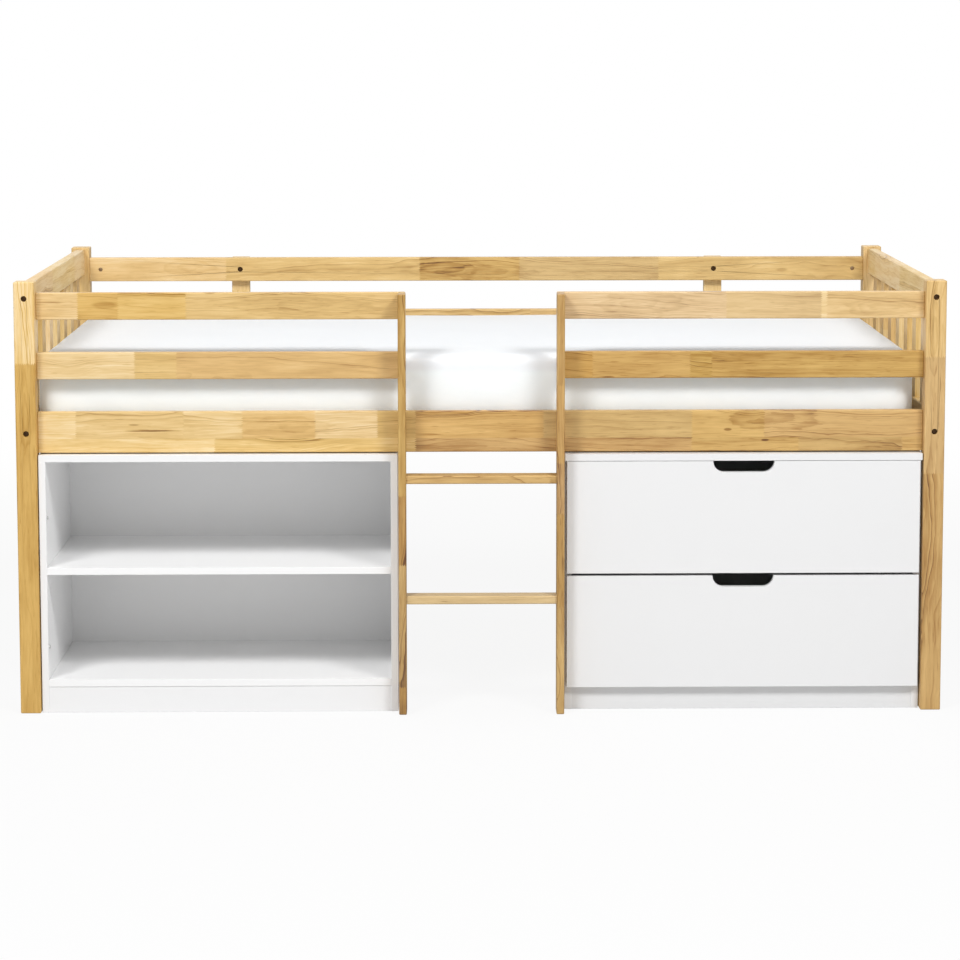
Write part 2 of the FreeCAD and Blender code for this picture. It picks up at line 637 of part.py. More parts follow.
def rounded_outline(half_x, half_y, radius, z):
    """A rectangle with round corners, as one wire of lines and quarter arcs."""
    edges = []
    quarter = math.pi / 2
    corners = ((1, 1, 0), (-1, 1, 1), (-1, -1, 2), (1, -1, 3))
    ends = []
    for sign_x, sign_y, turn in corners:
        middle = vector(sign_x * (half_x - radius), sign_y * (half_y - radius), z)
        points = []
        for share in (0.0, 0.5, 1.0):
            angle = quarter * (turn + share)
            points.append(middle + vector(radius * math.cos(angle), radius * math.sin(angle), 0))
        edges.append(Part.Arc(*points).toShape())
        ends.append((points[0], points[2]))
        if len(ends) > 1:
            edges.insert(-1, Part.LineSegment(ends[-2][1], ends[-1][0]).toShape())
    edges.append(Part.LineSegment(ends[-1][1], ends[0][0]).toShape())
    return Part.Wire(Part.__sortEdges__(edges))


def mattress_sections():
    """Insets and heights of the mattress's outlines, from its foot to its crown.

    Each long edge is a quarter round in two steps, the sides are drawn in at half their
    height, and the top rises along a shallow curve to its level middle.
    """
    edge = size("mattress_edge")
    height = size("mattress_height")
    round_shares = (0.0, 0.5, 1.0)
    sections = []
    for share in round_shares:
        angle = share * math.pi / 2
        sections.append((edge * (1 - math.sin(angle)), edge * (1 - math.cos(angle))))
    sections.append((size("mattress_waist"), height / 2))
    for inset, level in reversed(sections[:-1]):
        sections.append((inset, height - level))
    for share in (0.5, 1.0):
        rise = size("mattress_crown") * (1 - (1 - share) ** 2)
        sections.append((edge + share * size("mattress_crown_reach"), height + rise))
    return sections


def make_mattress():
    """The mattress as a ruled loft through rounded outlines."""
    half_x = size("mattress_length") / 2
    half_y = size("mattress_width") / 2
    corner = size("mattress_corner")
    wires = []
    for inset, level in mattress_sections():
        reach = min(half_x, half_y) - inset
        radius = min(max(corner - inset, corner / 2), reach / 2)
        wires.append(rounded_outline(half_x - inset, half_y - inset, radius, level))
    mattress = doc.addObject("Part::Feature", "mattress")
    mattress.Label = "mattress"
    mattress.Shape = Part.makeLoft(wires, True, True)
    middle_y = (place("front_inner") + place("back_inner")) / 2
    foot = place("deck_top") + size("soft_gap")
    mattress.Placement.Base = vector(-size("mattress_shift"), middle_y, foot)
    subparts.append(mattress)


def make_bookcase():
    """The open unit: two sides, top, two shelves, plinth and back."""
    front = "Layout.bookcase_front"
    left = "-Layout.unit_out"
    depth = "Layout.shelf_depth"
    sides = (("bookcase_left_side", left), ("bookcase_right_side", "-Layout.unit_in - Sizes.panel"))
    for label, corner in sides:
        side = Board(label, ("Sizes.panel", depth, "Layout.side_height"), (corner, front, "0"), False)
        if label == "bookcase_left_side":
            drill_unit_side(side, "Sizes.bookcase_screw_place + Layout.post_front - Layout.bookcase_front")
    lengths = ("Layout.unit_width", depth, "Sizes.panel")
    Board("bookcase_top", lengths, (left, front, "Layout.side_height"), False)
    inner = f"{left} + Sizes.panel"
    for label, foot in (
        ("bookcase_middle_shelf", "Layout.middle_shelf_foot"),
        ("bookcase_bottom_shelf", "Sizes.bookcase_plinth_height"),
    ):
        lengths = ("Layout.unit_inner_width", depth, "Sizes.panel")
        Board(label, lengths, (inner, front, foot), False)
    lengths = ("Layout.unit_inner_width", "Sizes.panel", "Sizes.bookcase_plinth_height")
    Board("bookcase_plinth", lengths, (inner, f"{front} + Sizes.plinth_setback", "0"), False)
    lengths = ("Layout.unit_width", "Sizes.back_panel", "Layout.unit_height")
    Board("bookcase_back", lengths, (left, f"{front} + {depth}", "0"), False)


def drill_unit_side(side, across):
    """Two holes through a unit's side, for the screws into the post."""
    centres = ((across, "Sizes.unit_screw_low"), (across, "Sizes.unit_screw_high"))
    side.drill("left", centres, SCREW_BORE, "Sizes.panel")


def make_chest():
    """The carcass of the chest: two sides, top, plinth and back."""
    front = "Layout.chest_side_front"
    depth = "Layout.chest_side_depth"
    sides = (("chest_left_side", "Layout.unit_in"), ("chest_right_side", "Layout.unit_out - Sizes.panel"))
    for label, corner in sides:
        side = Board(label, ("Sizes.panel", depth, "Layout.side_height"), (corner, front, "0"), False)
        if label == "chest_right_side":
            drill_unit_side(side, "Sizes.chest_screw_place + Layout.post_front - Layout.chest_side_front")
    lengths = ("Layout.unit_width", "Layout.shelf_depth", "Sizes.panel")
    Board("chest_top", lengths, ("Layout.unit_in", "Layout.chest_front", "Layout.side_height"), False)
    lengths = ("Layout.unit_inner_width", "Sizes.panel", "Sizes.chest_plinth_height")
    corner = ("Layout.unit_in + Sizes.panel", f"{front} + Sizes.plinth_setback", "0")
    Board("chest_plinth", lengths, corner, False)
    lengths = ("Layout.unit_width", "Sizes.back_panel", "Layout.unit_height")
    corner = ("Layout.unit_in", "Layout.chest_front + Layout.shelf_depth", "0")
    Board("chest_back", lengths, corner, False)


def mirror(body, features):
    """The same features on the other side of the body's middle plane."""
    copy = body.newObject("PartDesign::Mirrored", "OtherSide")
    copy.Originals = features
    copy.MirrorPlane = (origin_item(body, "YZ_Plane"), [""])
    body.Tip = copy
    doc.recompute()
    return copy


def make_drawer_front(name, foot):
    """A drawer front with a round-cornered notch in its top edge as the handle."""
    half = "Layout.front_width / 2"
    body = new_body(name + "_drawer_front", "Layout.unit_middle", "Layout.chest_front", foot)
    sketch = new_sketch(body, "XZ_Plane")
    rectangle(sketch, f"-{half}", "0", half, "Sizes.front_height")
    panel = pad(body, sketch, "Sizes.panel", True)
    before = panel.Shape.Volume
    cut_notch(body)
    if not body.Shape.Volume < before:
        raise ValueError("the notch removes nothing")
    groove = new_sketch(body, "XZ_Plane", "-Sizes.panel")
    level = "Sizes.drawer_lift + Sizes.drawer_groove_rise"
    reach = "(Layout.box_half - Sizes.drawer_side_thickness + Sizes.drawer_groove_depth)"
    rectangle(groove, f"-{reach}", f"{level} - Sizes.groove_play", reach,
              f"{level} + Sizes.drawer_bottom + Sizes.groove_play")
    before = body.Shape.Volume
    slot = body.newObject("PartDesign::Pocket", "Groove")
    slot.Profile = groove
    slot.setExpression("Length", "Sizes.drawer_groove_depth")
    slot.Reversed = True
    doc.recompute()
    if not body.Shape.Volume < before:
        raise ValueError("the groove removes nothing")


def cut_notch(body):
    """The handle notch: a slot open at the top, with two round lower corners."""
    sketch = new_sketch(body, "XZ_Plane")
    half = size("notch_width") / 2
    radius = size("notch_radius")
    top = size("front_height")
    foot = top - size("notch_depth")
    low_left = vector(-half + radius, foot, 0)
    low_right = vector(half - radius, foot, 0)
    sketch.addGeometry(Part.LineSegment(low_left, low_right))
    arc = Part.ArcOfCircle(
        Part.Circle(vector(half - radius, foot + radius, 0), vector(0, 0, 1), radius), -math.pi / 2, 0
    )
    sketch.addGeometry(arc)
    sketch.addGeometry(Part.LineSegment(vector(half, foot + radius, 0), vector(half, top, 0)))
    sketch.addGeometry(Part.LineSegment(vector(half, top, 0), vector(-half, top, 0)))
    sketch.addGeometry(Part.LineSegment(vector(-half, top, 0), vector(-half, foot + radius, 0)))
    arc = Part.ArcOfCircle(
        Part.Circle(vector(-half + radius, foot + radius, 0), vector(0, 0, 1), radius), math.pi, 1.5 * math.pi
    )
    sketch.addGeometry(arc)
    bottom, right_arc, right, lid, left, left_arc = range(6)
    for first, first_end, second, second_end in (
        (bottom, 2, right_arc, 1),
        (right_arc, 2, right, 1),
        (left, 2, left_arc, 1),
        (left_arc, 2, bottom, 1),
    ):
        sketch.addConstraint(Sketcher.Constraint("Tangent", first, first_end, second, second_end))
    sketch.addConstraint(Sketcher.Constraint("Coincident", right, 2, lid, 1))
    sketch.addConstraint(Sketcher.Constraint("Coincident", lid, 2, left, 1))
    sketch.addConstraint(Sketcher.Constraint("Horizontal", bottom))
    sketch.addConstraint(Sketcher.Constraint("Vertical", right))
    sketch.addConstraint(Sketcher.Constraint("Vertical", left))
    sketch.addConstraint(Sketcher.Constraint("Symmetric", lid, 1, lid, 2, -2))
    bind(sketch, "DistanceX", (lid, 2, lid, 1), "Sizes.notch_width", size("notch_width"))
    bind(sketch, "DistanceY", (-1, 1, lid, 1), "Sizes.front_height", top)
    bind(sketch, "DistanceY", (bottom, 1, lid, 2), "Sizes.notch_depth", size("notch_depth"))
    bind(sketch, "Radius", (right_arc,), "Sizes.notch_radius", radius)
    sketch.addConstraint(Sketcher.Constraint("Equal", right_arc, left_arc))
    doc.recompute()
    notch = body.newObject("PartDesign::Pocket", "Notch")
    notch.Profile = sketch
    notch.Type = "ThroughAll"
    doc.recompute()


def make_drawer_box(name, foot):
    """Sides, back and grooved-in bottom panel of a drawer."""
    inner = "(Layout.box_half - Sizes.drawer_side_thickness)"
    body = new_body(name + "_drawer_sides", "Layout.unit_middle", "Layout.box_front", foot)
    sketch = new_sketch(body, "XY_Plane")
    rectangle(sketch, inner, "0", "Layout.box_half", "Sizes.drawer_length")
    side = pad(body, sketch, "Sizes.drawer_side_height")
    before = side.Shape.Volume
    sketch = new_sketch(body, "YZ_Plane", inner)
    rectangle(sketch, "0", "Sizes.drawer_groove_rise - Sizes.groove_play", "Sizes.drawer_length",
              "Sizes.drawer_groove_rise + Sizes.drawer_bottom + Sizes.groove_play")
    groove = body.newObject("PartDesign::Pocket", "Groove")
    groove.Profile = sketch
    groove.setExpression("Length", "Sizes.drawer_groove_depth")
    groove.Reversed = True
    doc.recompute()
    if not groove.Shape.Volume < before:
        raise ValueError("the side groove removes nothing")
    mirror(body, [side, groove])

    panel_top = "Sizes.drawer_groove_rise + Sizes.drawer_bottom"
    lengths = (
        f"2 * {inner}",
        "Sizes.drawer_side_thickness",
        f"Sizes.drawer_side_height - ({panel_top})",
    )
    back_y = "Layout.box_front + Sizes.drawer_length - Sizes.drawer_side_thickness"
    corner = (f"Layout.unit_middle - {inner}", back_y, f"{foot} + {panel_top}")
    Board(name + "_drawer_back", lengths, corner, False)

    reach = "(Sizes.drawer_groove_depth - Sizes.groove_play)"
    lengths = (f"2 * ({inner} + {reach})", f"Sizes.drawer_length + {reach}", "Sizes.drawer_bottom")
    corner = (
        f"Layout.unit_middle - {inner} - {reach}",
        f"Layout.box_front - {reach}",
        f"{foot} + Sizes.drawer_groove_rise",
    )
    Board(name + "_drawer_bottom", lengths, corner, False)


def add_roller_pin(body, plane_place, y, z, length):
    """A pin that sticks out of a runner's web, towards the middle or away from it."""
    sketch = new_sketch(body, "YZ_Plane", plane_place)
    radius = "Sizes.roller_pin_diameter / 2"
    middle = vector(evaluate(y), evaluate(z), 0)
    index = sketch.addGeometry(Part.Circle(middle, vector(0, 0, 1), evaluate(radius)))
    bind(sketch, "Radius", (index,), radius, evaluate(radius))
    hold_point(sketch, index, 3, y, z)
    return pad(body, sketch, length)


def make_unit_runners():
    """Four channels on the inner sides of the chest, each with the pin of its front roller.

    The right lower channel is drawn at the chest's middle plane and mirrored, and the pair
    is repeated one drawer higher.
    """
    wall = "Layout.unit_inner_width / 2"
    sheet = "Sizes.runner_sheet"
    body = new_body("unit_runners", "Layout.unit_middle", "Layout.channel_front",
                    "Layout.lower_box_foot - Layout.foot_to_box")
    tip = f"({wall} - Sizes.channel_width)"
    web = f"({wall} - {sheet})"
    top = "Sizes.channel_height"
    sketch = new_sketch(body, "XZ_Plane")
    polygon(sketch, (
        (wall, "0"),
        (wall, top),
        (tip, top),
        (tip, f"{top} - {sheet}"),
        (web, f"{top} - {sheet}"),
        (web, sheet),
        (tip, sheet),
        (tip, "0"),
    ))
    channel = pad(body, sketch, "Sizes.runner_length", True)
    before = channel.Shape.Volume
    sketch = new_sketch(body, "YZ_Plane", tip)
    rectangle(sketch, "0", "0", "Sizes.channel_cutaway", top)
    cutaway = body.newObject("PartDesign::Pocket", "OpenFront")
    cutaway.Profile = sketch
    cutaway.setExpression("Length", f"Sizes.channel_width - {sheet}")
    cutaway.Reversed = True
    doc.recompute()
    if not cutaway.Shape.Volume < before:
        raise ValueError("the channel's open front removes nothing")
    pin_tip = f"({wall} - Sizes.roller_start - Sizes.roller_width - Sizes.roller_pin_end)"
    pin = add_roller_pin(body, pin_tip, "Sizes.roller_end_gap", "Layout.fixed_roller_rise",
                         f"{web} - {pin_tip}")
    several = body.newObject("PartDesign::MultiTransform", "AllFour")
    several.Originals = [channel, cutaway, pin]
    other_side = body.newObject("PartDesign::Mirrored", "OtherSide")
    other_side.MirrorPlane = (origin_item(body, "YZ_Plane"), [""])
    upper = body.newObject("PartDesign::LinearPattern", "UpperPair")
    upper.Direction = (origin_item(body, "Z_Axis"), [""])
    upper.setExpression("Length", "Layout.drawer_pitch")
    upper.Occurrences = 2
    several.Transformations = [other_side, upper]
    body.Tip = several
    doc.recompute()


def make_drawer_runners(name, foot):
    """Two folded runners under the drawer sides, each with the pin of its rear roller."""
    side = "Layout.box_half"
    sheet = "Sizes.runner_sheet"
    edge = "(Layout.unit_inner_width / 2 - Sizes.running_flange_start)"
    low = "Sizes.runner_foot_rise"
    running = "(Sizes.channel_height + Sizes.runner_play)"
    body = new_body(name + "_drawer_runners", "Layout.unit_middle", "Layout.box_front",
                    f"{foot} - Layout.foot_to_box")
    sketch = new_sketch(body, "XZ_Plane")
    polygon(sketch, (
        (f"{side} - Sizes.runner_ledge", low),
        (f"{side} + {sheet}", low),
        (f"{side} + {sheet}", running),
        (edge, running),
        (edge, f"{running} + {sheet}"),
        (side, f"{running} + {sheet}"),
        (side, f"{low} + {sheet}"),
        (f"{side} - Sizes.runner_ledge", f"{low} + {sheet}"),
    ))
    runner = pad(body, sketch, "Sizes.runner_length", True)
    pin_length = (
        "Layout.unit_inner_width / 2 - Sizes.roller_start + Sizes.roller_pin_end"
        f" - {side} - {sheet}"
    )
    pin = add_roller_pin(
        body,
        f"{side} + {sheet}",
        "Sizes.runner_length - Sizes.roller_end_gap",
        "Layout.riding_roller_rise",
        pin_length,
    )
    mirror(body, [runner, pin])


def make_rollers(label, y, z):
    """A pair of nylon rollers on one axis, one at each side of the drawer."""
    body = new_body(label, "Layout.unit_middle", y, z)
    far = "(Layout.unit_inner_width / 2 - Sizes.roller_start)"
    near = f"({far} - Sizes.roller_width)"
    bore = "(Sizes.roller_pin_diameter / 2 + Sizes.roller_pin_play)"
    sketch = new_sketch(body, "XZ_Plane")
    rectangle(sketch, near, bore, far, "Layout.roller_radius")
    roller = body.newObject("PartDesign::Revolution", "Roller")
    roller.Profile = sketch
    roller.ReferenceAxis = (origin_item(body, "X_Axis"), [""])
    roller.Angle = 360
    doc.recompute()
    mirror(body, [roller])


def make_prism(name, sides, diameter, length):
    """A straight prism with its foot at the origin, measured over its corners."""
    prism = doc.addObject("Part::Prism", name)
    prism.setExpression("Polygon", sides)
    prism.setExpression("Circumradius", f"{diameter} / 2")
    prism.setExpression("Height", length)
    return prism


def make_fastener(name, head_sides, head_diameter, head_height, shank_diameter, length):
    """Pattern of a headed bolt or screw: head below the origin, shank up along +Z."""
    head = make_prism(name + "Head", head_sides, head_diameter, head_height)
    head.setExpression("Placement.Base.z", f"-{head_height}")
    whole = doc.addObject("Part::Fuse", name)
    whole.Base = head
    whole.Tool = make_prism(name + "Shank", "Sizes.shank_sides", shank_diameter, length)
    doc.recompute()
    return whole


def place_copies(label, pattern, seats):
    """One sub-part of equal solids: copies of the pattern at (point, direction) seats."""
    copies = []
    for point, direction in seats:
        copy = pattern.Shape.copy()
        turn = FreeCAD.Rotation(vector(0, 0, 1), vector(*direction))
        copy.Placement = FreeCAD.Placement(vector(*point), turn)
        copies.append(copy)
    group = doc.addObject("Part::Feature", label)
    group.Label = label
    group.Shape = Part.makeCompound(copies)
    subparts.append(group)


def make_fasteners():
    """Bolts, barrel nuts and screws, each kind as one group."""
    bolt = (
        "Sizes.bolt_head_sides",
        "Sizes.bolt_head_diameter",
        "Sizes.bolt_head_height",
        "Sizes.bolt_shank_diameter",
    )
    screw = (
        "Sizes.shank_sides",
        "Sizes.screw_head_diameter",
        "Sizes.screw_head_height",
        "Sizes.screw_shank_diameter",
    )
    recess = size("bolt_recess_depth")
    post_rest = "(Sizes.post_section - Sizes.bolt_recess_depth)"
    rail_rest = "(Sizes.rail_thickness - Sizes.bolt_recess_depth)"
    sides = (-1, 1)
    guard_heights = (place("middle_guard_middle"), place("upper_guard_middle"))

    pattern = make_fastener("EndPanelBolt", *bolt, f"{post_rest} + Sizes.bolt_grip")
    seats = []
    for side in sides:
        for height in (place("side_rail_middle"), place("end_top_middle")):
            x = side * place("post_middle")
            seats.append(((x, place("post_front") + recess, height), (0, 1, 0)))
            seats.append(((x, place("post_back") - recess, height), (0, -1, 0)))
    place_copies("end_panel_bolts", pattern, seats)

    nut_reach = "Sizes.barrel_place - (Sizes.barrel_diameter / 2)"
    pattern = make_fastener("RailBolt", *bolt, f"{post_rest} + {nut_reach}")
    seats = []
    for side in sides:
        for y in (place("front_rail_middle"), place("back_rail_middle")):
            for height in (place("side_bolt_height"),) + guard_heights:
                seats.append(((side * (place("half_length") - recess), y, height), (-side, 0, 0)))
    place_copies("rail_bolts", pattern, seats)

    nut = make_prism("BarrelNut", "Sizes.shank_sides", "Sizes.barrel_diameter", "Sizes.barrel_length")
    doc.recompute()
    seats = []
    for side in sides:
        x = side * (place("post_in") - size("barrel_place"))
        for height in (place("side_bolt_height"),) + guard_heights:
            front = place("front_inner") - size("barrel_recess")
            back = place("back_inner") + size("barrel_recess")
            seats.append(((x, front, height), (0, -1, 0)))
            seats.append(((x, back, height), (0, 1, 0)))
    place_copies("barrel_nuts", nut, seats)

    pattern = make_fastener("UprightBolt", *bolt, f"{rail_rest} + Sizes.upright_bolt_grip")
    seats = []
    for side in sides:
        for height in (place("side_rail_middle"),) + guard_heights:
            point = (side * size("upright_place"), place("back_inner") + recess, height)
            seats.append((point, (0, 1, 0)))
    place_copies("upright_bolts", pattern, seats)

    screw_rest = "(Sizes.rail_thickness - Sizes.screw_recess_depth)"
    pattern = make_fastener("LadderScrew", *screw, f"{screw_rest} + Sizes.ladder_screw_grip")
    seats = []
    for side in sides:
        for height in (place("side_rail_middle"),) + guard_heights:
            y = place("front_inner") - size("screw_recess_depth")
            seats.append(((side * place("stile_middle"), y, height), (0, -1, 0)))
    place_copies("ladder_screws", pattern, seats)

    pattern = make_fastener("UnitScrew", *screw, "Sizes.panel + Sizes.unit_gap + Sizes.unit_screw_grip")
    seats = []
    for side, across in ((-1, size("bookcase_screw_place")), (1, size("chest_screw_place"))):
        for height in (size("unit_screw_low"), size("unit_screw_high")):
            x = side * (place("unit_out") - size("panel"))
            seats.append(((x, place("post_front") + across, height), (side, 0, 0)))
    place_copies("unit_screws", pattern, seats)


def make_frame():
    """Posts, rails, ends, uprights, deck and ladder."""
    make_post("front_left_post", "low", "low")
    make_post("front_right_post", "high", "low")
    make_post("back_left_post", "low", "high")
    make_post("back_right_post", "high", "high")
    make_long_rail("front_side_rail", True, "Sizes.side_rail_height", "Sizes.side_rail_bottom")
    make_long_rail("back_side_rail", False, "Sizes.side_rail_height", "Sizes.side_rail_bottom")
    make_long_rail("back_middle_guard", False, "Sizes.guard_height", "Layout.middle_guard")
    make_long_rail("back_upper_guard", False, "Sizes.guard_height", "Layout.upper_guard")
    for side in ("left", "right"):
        is_left = side == "left"
        make_front_guard(f"front_{side}_middle_guard", is_left, "Layout.middle_guard")
        make_front_guard(f"front_{side}_upper_guard", is_left, "Layout.upper_guard")
        make_end_rail(f"{side}_end_top_rail", is_left, True)
        make_end_rail(f"{side}_end_bottom_rail", is_left, False)
        make_end_slats(f"{side}_end_slats", is_left)
        make_upright(f"back_{side}_upright", is_left)
    make_deck()
    make_ladder()


def make_drawers():
    """Both drawers with their runners and rollers, and the channels that carry them."""
    make_unit_runners()
    for name in ("lower", "upper"):
        front_foot = f"Layout.{name}_front_foot"
        box_foot = f"Layout.{name}_box_foot"
        channel_foot = f"{box_foot} - Layout.foot_to_box"
        make_drawer_front(name, front_foot)
        make_drawer_box(name, box_foot)
        make_drawer_runners(name, box_foot)
        make_rollers(name + "_fixed_rollers", "Layout.fixed_roller_y",
                     f"{channel_foot} + Layout.fixed_roller_rise")
        make_rollers(name + "_riding_rollers", "Layout.riding_roller_y",
                     f"{channel_foot} + Layout.riding_roller_rise")


def check_document():
    """Stop if any object failed or any sub-part has no sound shape."""
    doc.recompute()
    for item in doc.Objects:
        for state in ("Invalid", "Error"):
            if state in item.State:
                raise ValueError(item.Label + " is " + state)
    for item in subparts:
        if item.Shape.isNull() or not item.Shape.isValid():
            raise ValueError(item.Label + " has no sound shape")


def write_parts():
    """One STEP file for each sub-part."""
    os.makedirs("parts", exist_ok=True)
    for item in subparts:
        item.Shape.exportStep(f"parts/{item.Label}.step")
    print(len(subparts), "sub-parts written")


make_frame()
make_mattress()
make_bookcase()
make_chest()
make_drawers()
make_fasteners()
check_document()
write_parts()
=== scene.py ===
import math

import bpy
import numpy as np
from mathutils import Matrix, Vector


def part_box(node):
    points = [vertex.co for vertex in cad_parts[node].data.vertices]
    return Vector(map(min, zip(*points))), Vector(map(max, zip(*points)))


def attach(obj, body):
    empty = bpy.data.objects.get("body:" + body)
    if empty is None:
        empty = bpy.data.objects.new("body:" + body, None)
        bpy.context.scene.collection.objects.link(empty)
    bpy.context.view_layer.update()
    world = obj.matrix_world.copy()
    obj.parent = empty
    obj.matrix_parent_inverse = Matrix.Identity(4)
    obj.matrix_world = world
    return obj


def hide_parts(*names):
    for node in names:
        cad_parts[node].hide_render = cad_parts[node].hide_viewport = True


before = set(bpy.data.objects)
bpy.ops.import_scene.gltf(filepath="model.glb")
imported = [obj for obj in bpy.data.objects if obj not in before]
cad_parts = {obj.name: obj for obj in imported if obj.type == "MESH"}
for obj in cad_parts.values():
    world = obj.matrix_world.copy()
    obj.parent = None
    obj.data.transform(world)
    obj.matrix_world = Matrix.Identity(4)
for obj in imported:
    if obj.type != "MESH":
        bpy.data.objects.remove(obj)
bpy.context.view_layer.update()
scene = bpy.context.scene

# Shader helpers


class Tree:
    """One shader tree. Every value fed to a node is a number, a vector or another node's output."""

    def __init__(self, tree):
        self.tree = tree

    def add(self, kind, feeds=(), **settings):
        node = self.tree.nodes.new("ShaderNode" + kind)
        for name, value in settings.items():
            setattr(node, name, value)
        for name, value in dict(feeds).items():
            self.feed(node.inputs[name], value)
        return node

    def feed(self, socket, value):
        if isinstance(value, bpy.types.Node):
            value = value.outputs[0]
        if isinstance(value, bpy.types.NodeSocket):
            self.tree.links.new(value, socket)
        else:
            socket.default_value = value

    def math(self, operation, *values, clamp=False):
        node = self.add("Math", operation=operation, use_clamp=clamp)
        for socket, value in zip(node.inputs, values):
            self.feed(socket, value)
        return node.outputs[0]

    def vector(self, operation, *values):
        node = self.add("VectorMath", operation=operation)
        for socket, value in zip(node.inputs, values):
            self.feed(socket, value)
        return node.outputs["Value" if operation in ("LENGTH", "DOT_PRODUCT") else "Vector"]

    def split(self, vector):
        return self.add("SeparateXYZ", {"Vector": vector}).outputs

    def join(self, x, y, z):
        return self.add("CombineXYZ", {"X": x, "Y": y, "Z": z}).outputs[0]

    def noise(self, vector, scales, detail=2.0, roughness=0.5):
        """Noise of the vector, from 0 to 1, with its own scale on each axis, per metre."""
        spread = self.vector("MULTIPLY", vector, scales)
        feeds = {"Vector": spread, "Scale": 1.0, "Detail": detail, "Roughness": roughness}
        return self.add("TexNoise", feeds).outputs["Fac"]

    def chance(self, value):
        """Three random shares that stay the same for the same value."""
        return self.add("TexWhiteNoise", {"W": value}, noise_dimensions="1D").outputs["Color"]

    def between(self, value, low, high, bottom=0.0, top=1.0):
        """The value's share of the way from low to high, eased, as bottom to top."""
        feeds = {"Value": value, "From Min": low, "From Max": high, "To Min": bottom, "To Max": top}
        return self.add("MapRange", feeds, interpolation_type="SMOOTHSTEP").outputs["Result"]

    def mix(self, share, low, high):
        """A number that goes from low to high with the share."""
        return self.math("MULTIPLY_ADD", share, self.math("SUBTRACT", high, low), low)

    def blend(self, share, low, high):
        """A colour that goes from low to high with the share. The Mix node numbers its colour sockets."""
        factor, colour_a, colour_b, colour_out = 0, 6, 7, 2
        node = self.add("Mix", {factor: share, colour_a: low, colour_b: high}, data_type="RGBA")
        return node.outputs[colour_out]

    def centred(self, value):
        """A noise or a chance, moved so that it lies round zero."""
        return self.math("SUBTRACT", value, 0.5)

    def ramp(self, value, stops, interpolation="LINEAR"):
        """Colours by position. Each stop is its position and its red, green and blue."""
        node = self.add("ValToRGB", {"Fac": value})
        node.color_ramp.interpolation = interpolation
        elements = node.color_ramp.elements
        while len(elements) < len(stops):
            elements.new(0.5)
        for element, (position, colour) in zip(elements, stops):
            element.position = position
            element.color = (*colour, 1.0)
        return node.outputs["Color"]


def new_material(name):
    """A material with an empty Principled surface, and its tree."""
    material = bpy.data.materials.new(name)
    material.use_nodes = True
    material.node_tree.nodes.clear()
    tree = Tree(material.node_tree)
    surface = tree.add("BsdfPrincipled")
    output = tree.add("OutputMaterial", {"Surface": surface})
    output.is_active_output = True
    return material, tree, surface


def object_place(tree, centre=(0, 0, 0), turn=(0, 0, 0)):
    """The piece's own coordinates, from the centre and turned so that a pattern's X runs along it."""
    place = tree.add("TexCoord").outputs["Object"]
    moved = tree.add("Mapping", {"Vector": place, "Location": [-c for c in centre]}).outputs[0]
    if any(turn):
        moved = tree.add("Mapping", {"Vector": moved, "Rotation": turn}).outputs[0]
    return moved


# Pine

WOOD_TONES = [  # share of darkness, then the colour of clear-finished pine
    (0.0, (0.83, 0.637, 0.375)),
    (0.20, (0.747, 0.522, 0.243)),
    (0.40, (0.653, 0.429, 0.172)),
    (0.60, (0.541, 0.339, 0.126)),
    (0.80, (0.386, 0.209, 0.062)),
    (1.0, (0.138, 0.057, 0.017)),
]
# How much darker each part of the figure makes the wood, in shares of the tone
LATE_WOOD, RING_EDGE, FIBRE, STREAK, CLOUD = 0.24, 0.20, 0.32, 0.42, 0.52
DASHES, RESIN, KNOT, KNOT_RIM = 0.15, 0.20, 0.34, 0.22
# The steps that keep a block's several random choices apart
SECOND_CHOICE, PLACE_CHOICE = 71.3, 19.7
# Cells per metre that may hold a knot each, and the share of them that do
KNOT_CELLS, KNOT_SHARE = (4.6, 9.5, 9.5), 0.30
# Ring widths in metres: the narrowest, and how much wider the widest is
RING_WIDTH, RING_WIDTH_MORE = 0.0042, 0.0050


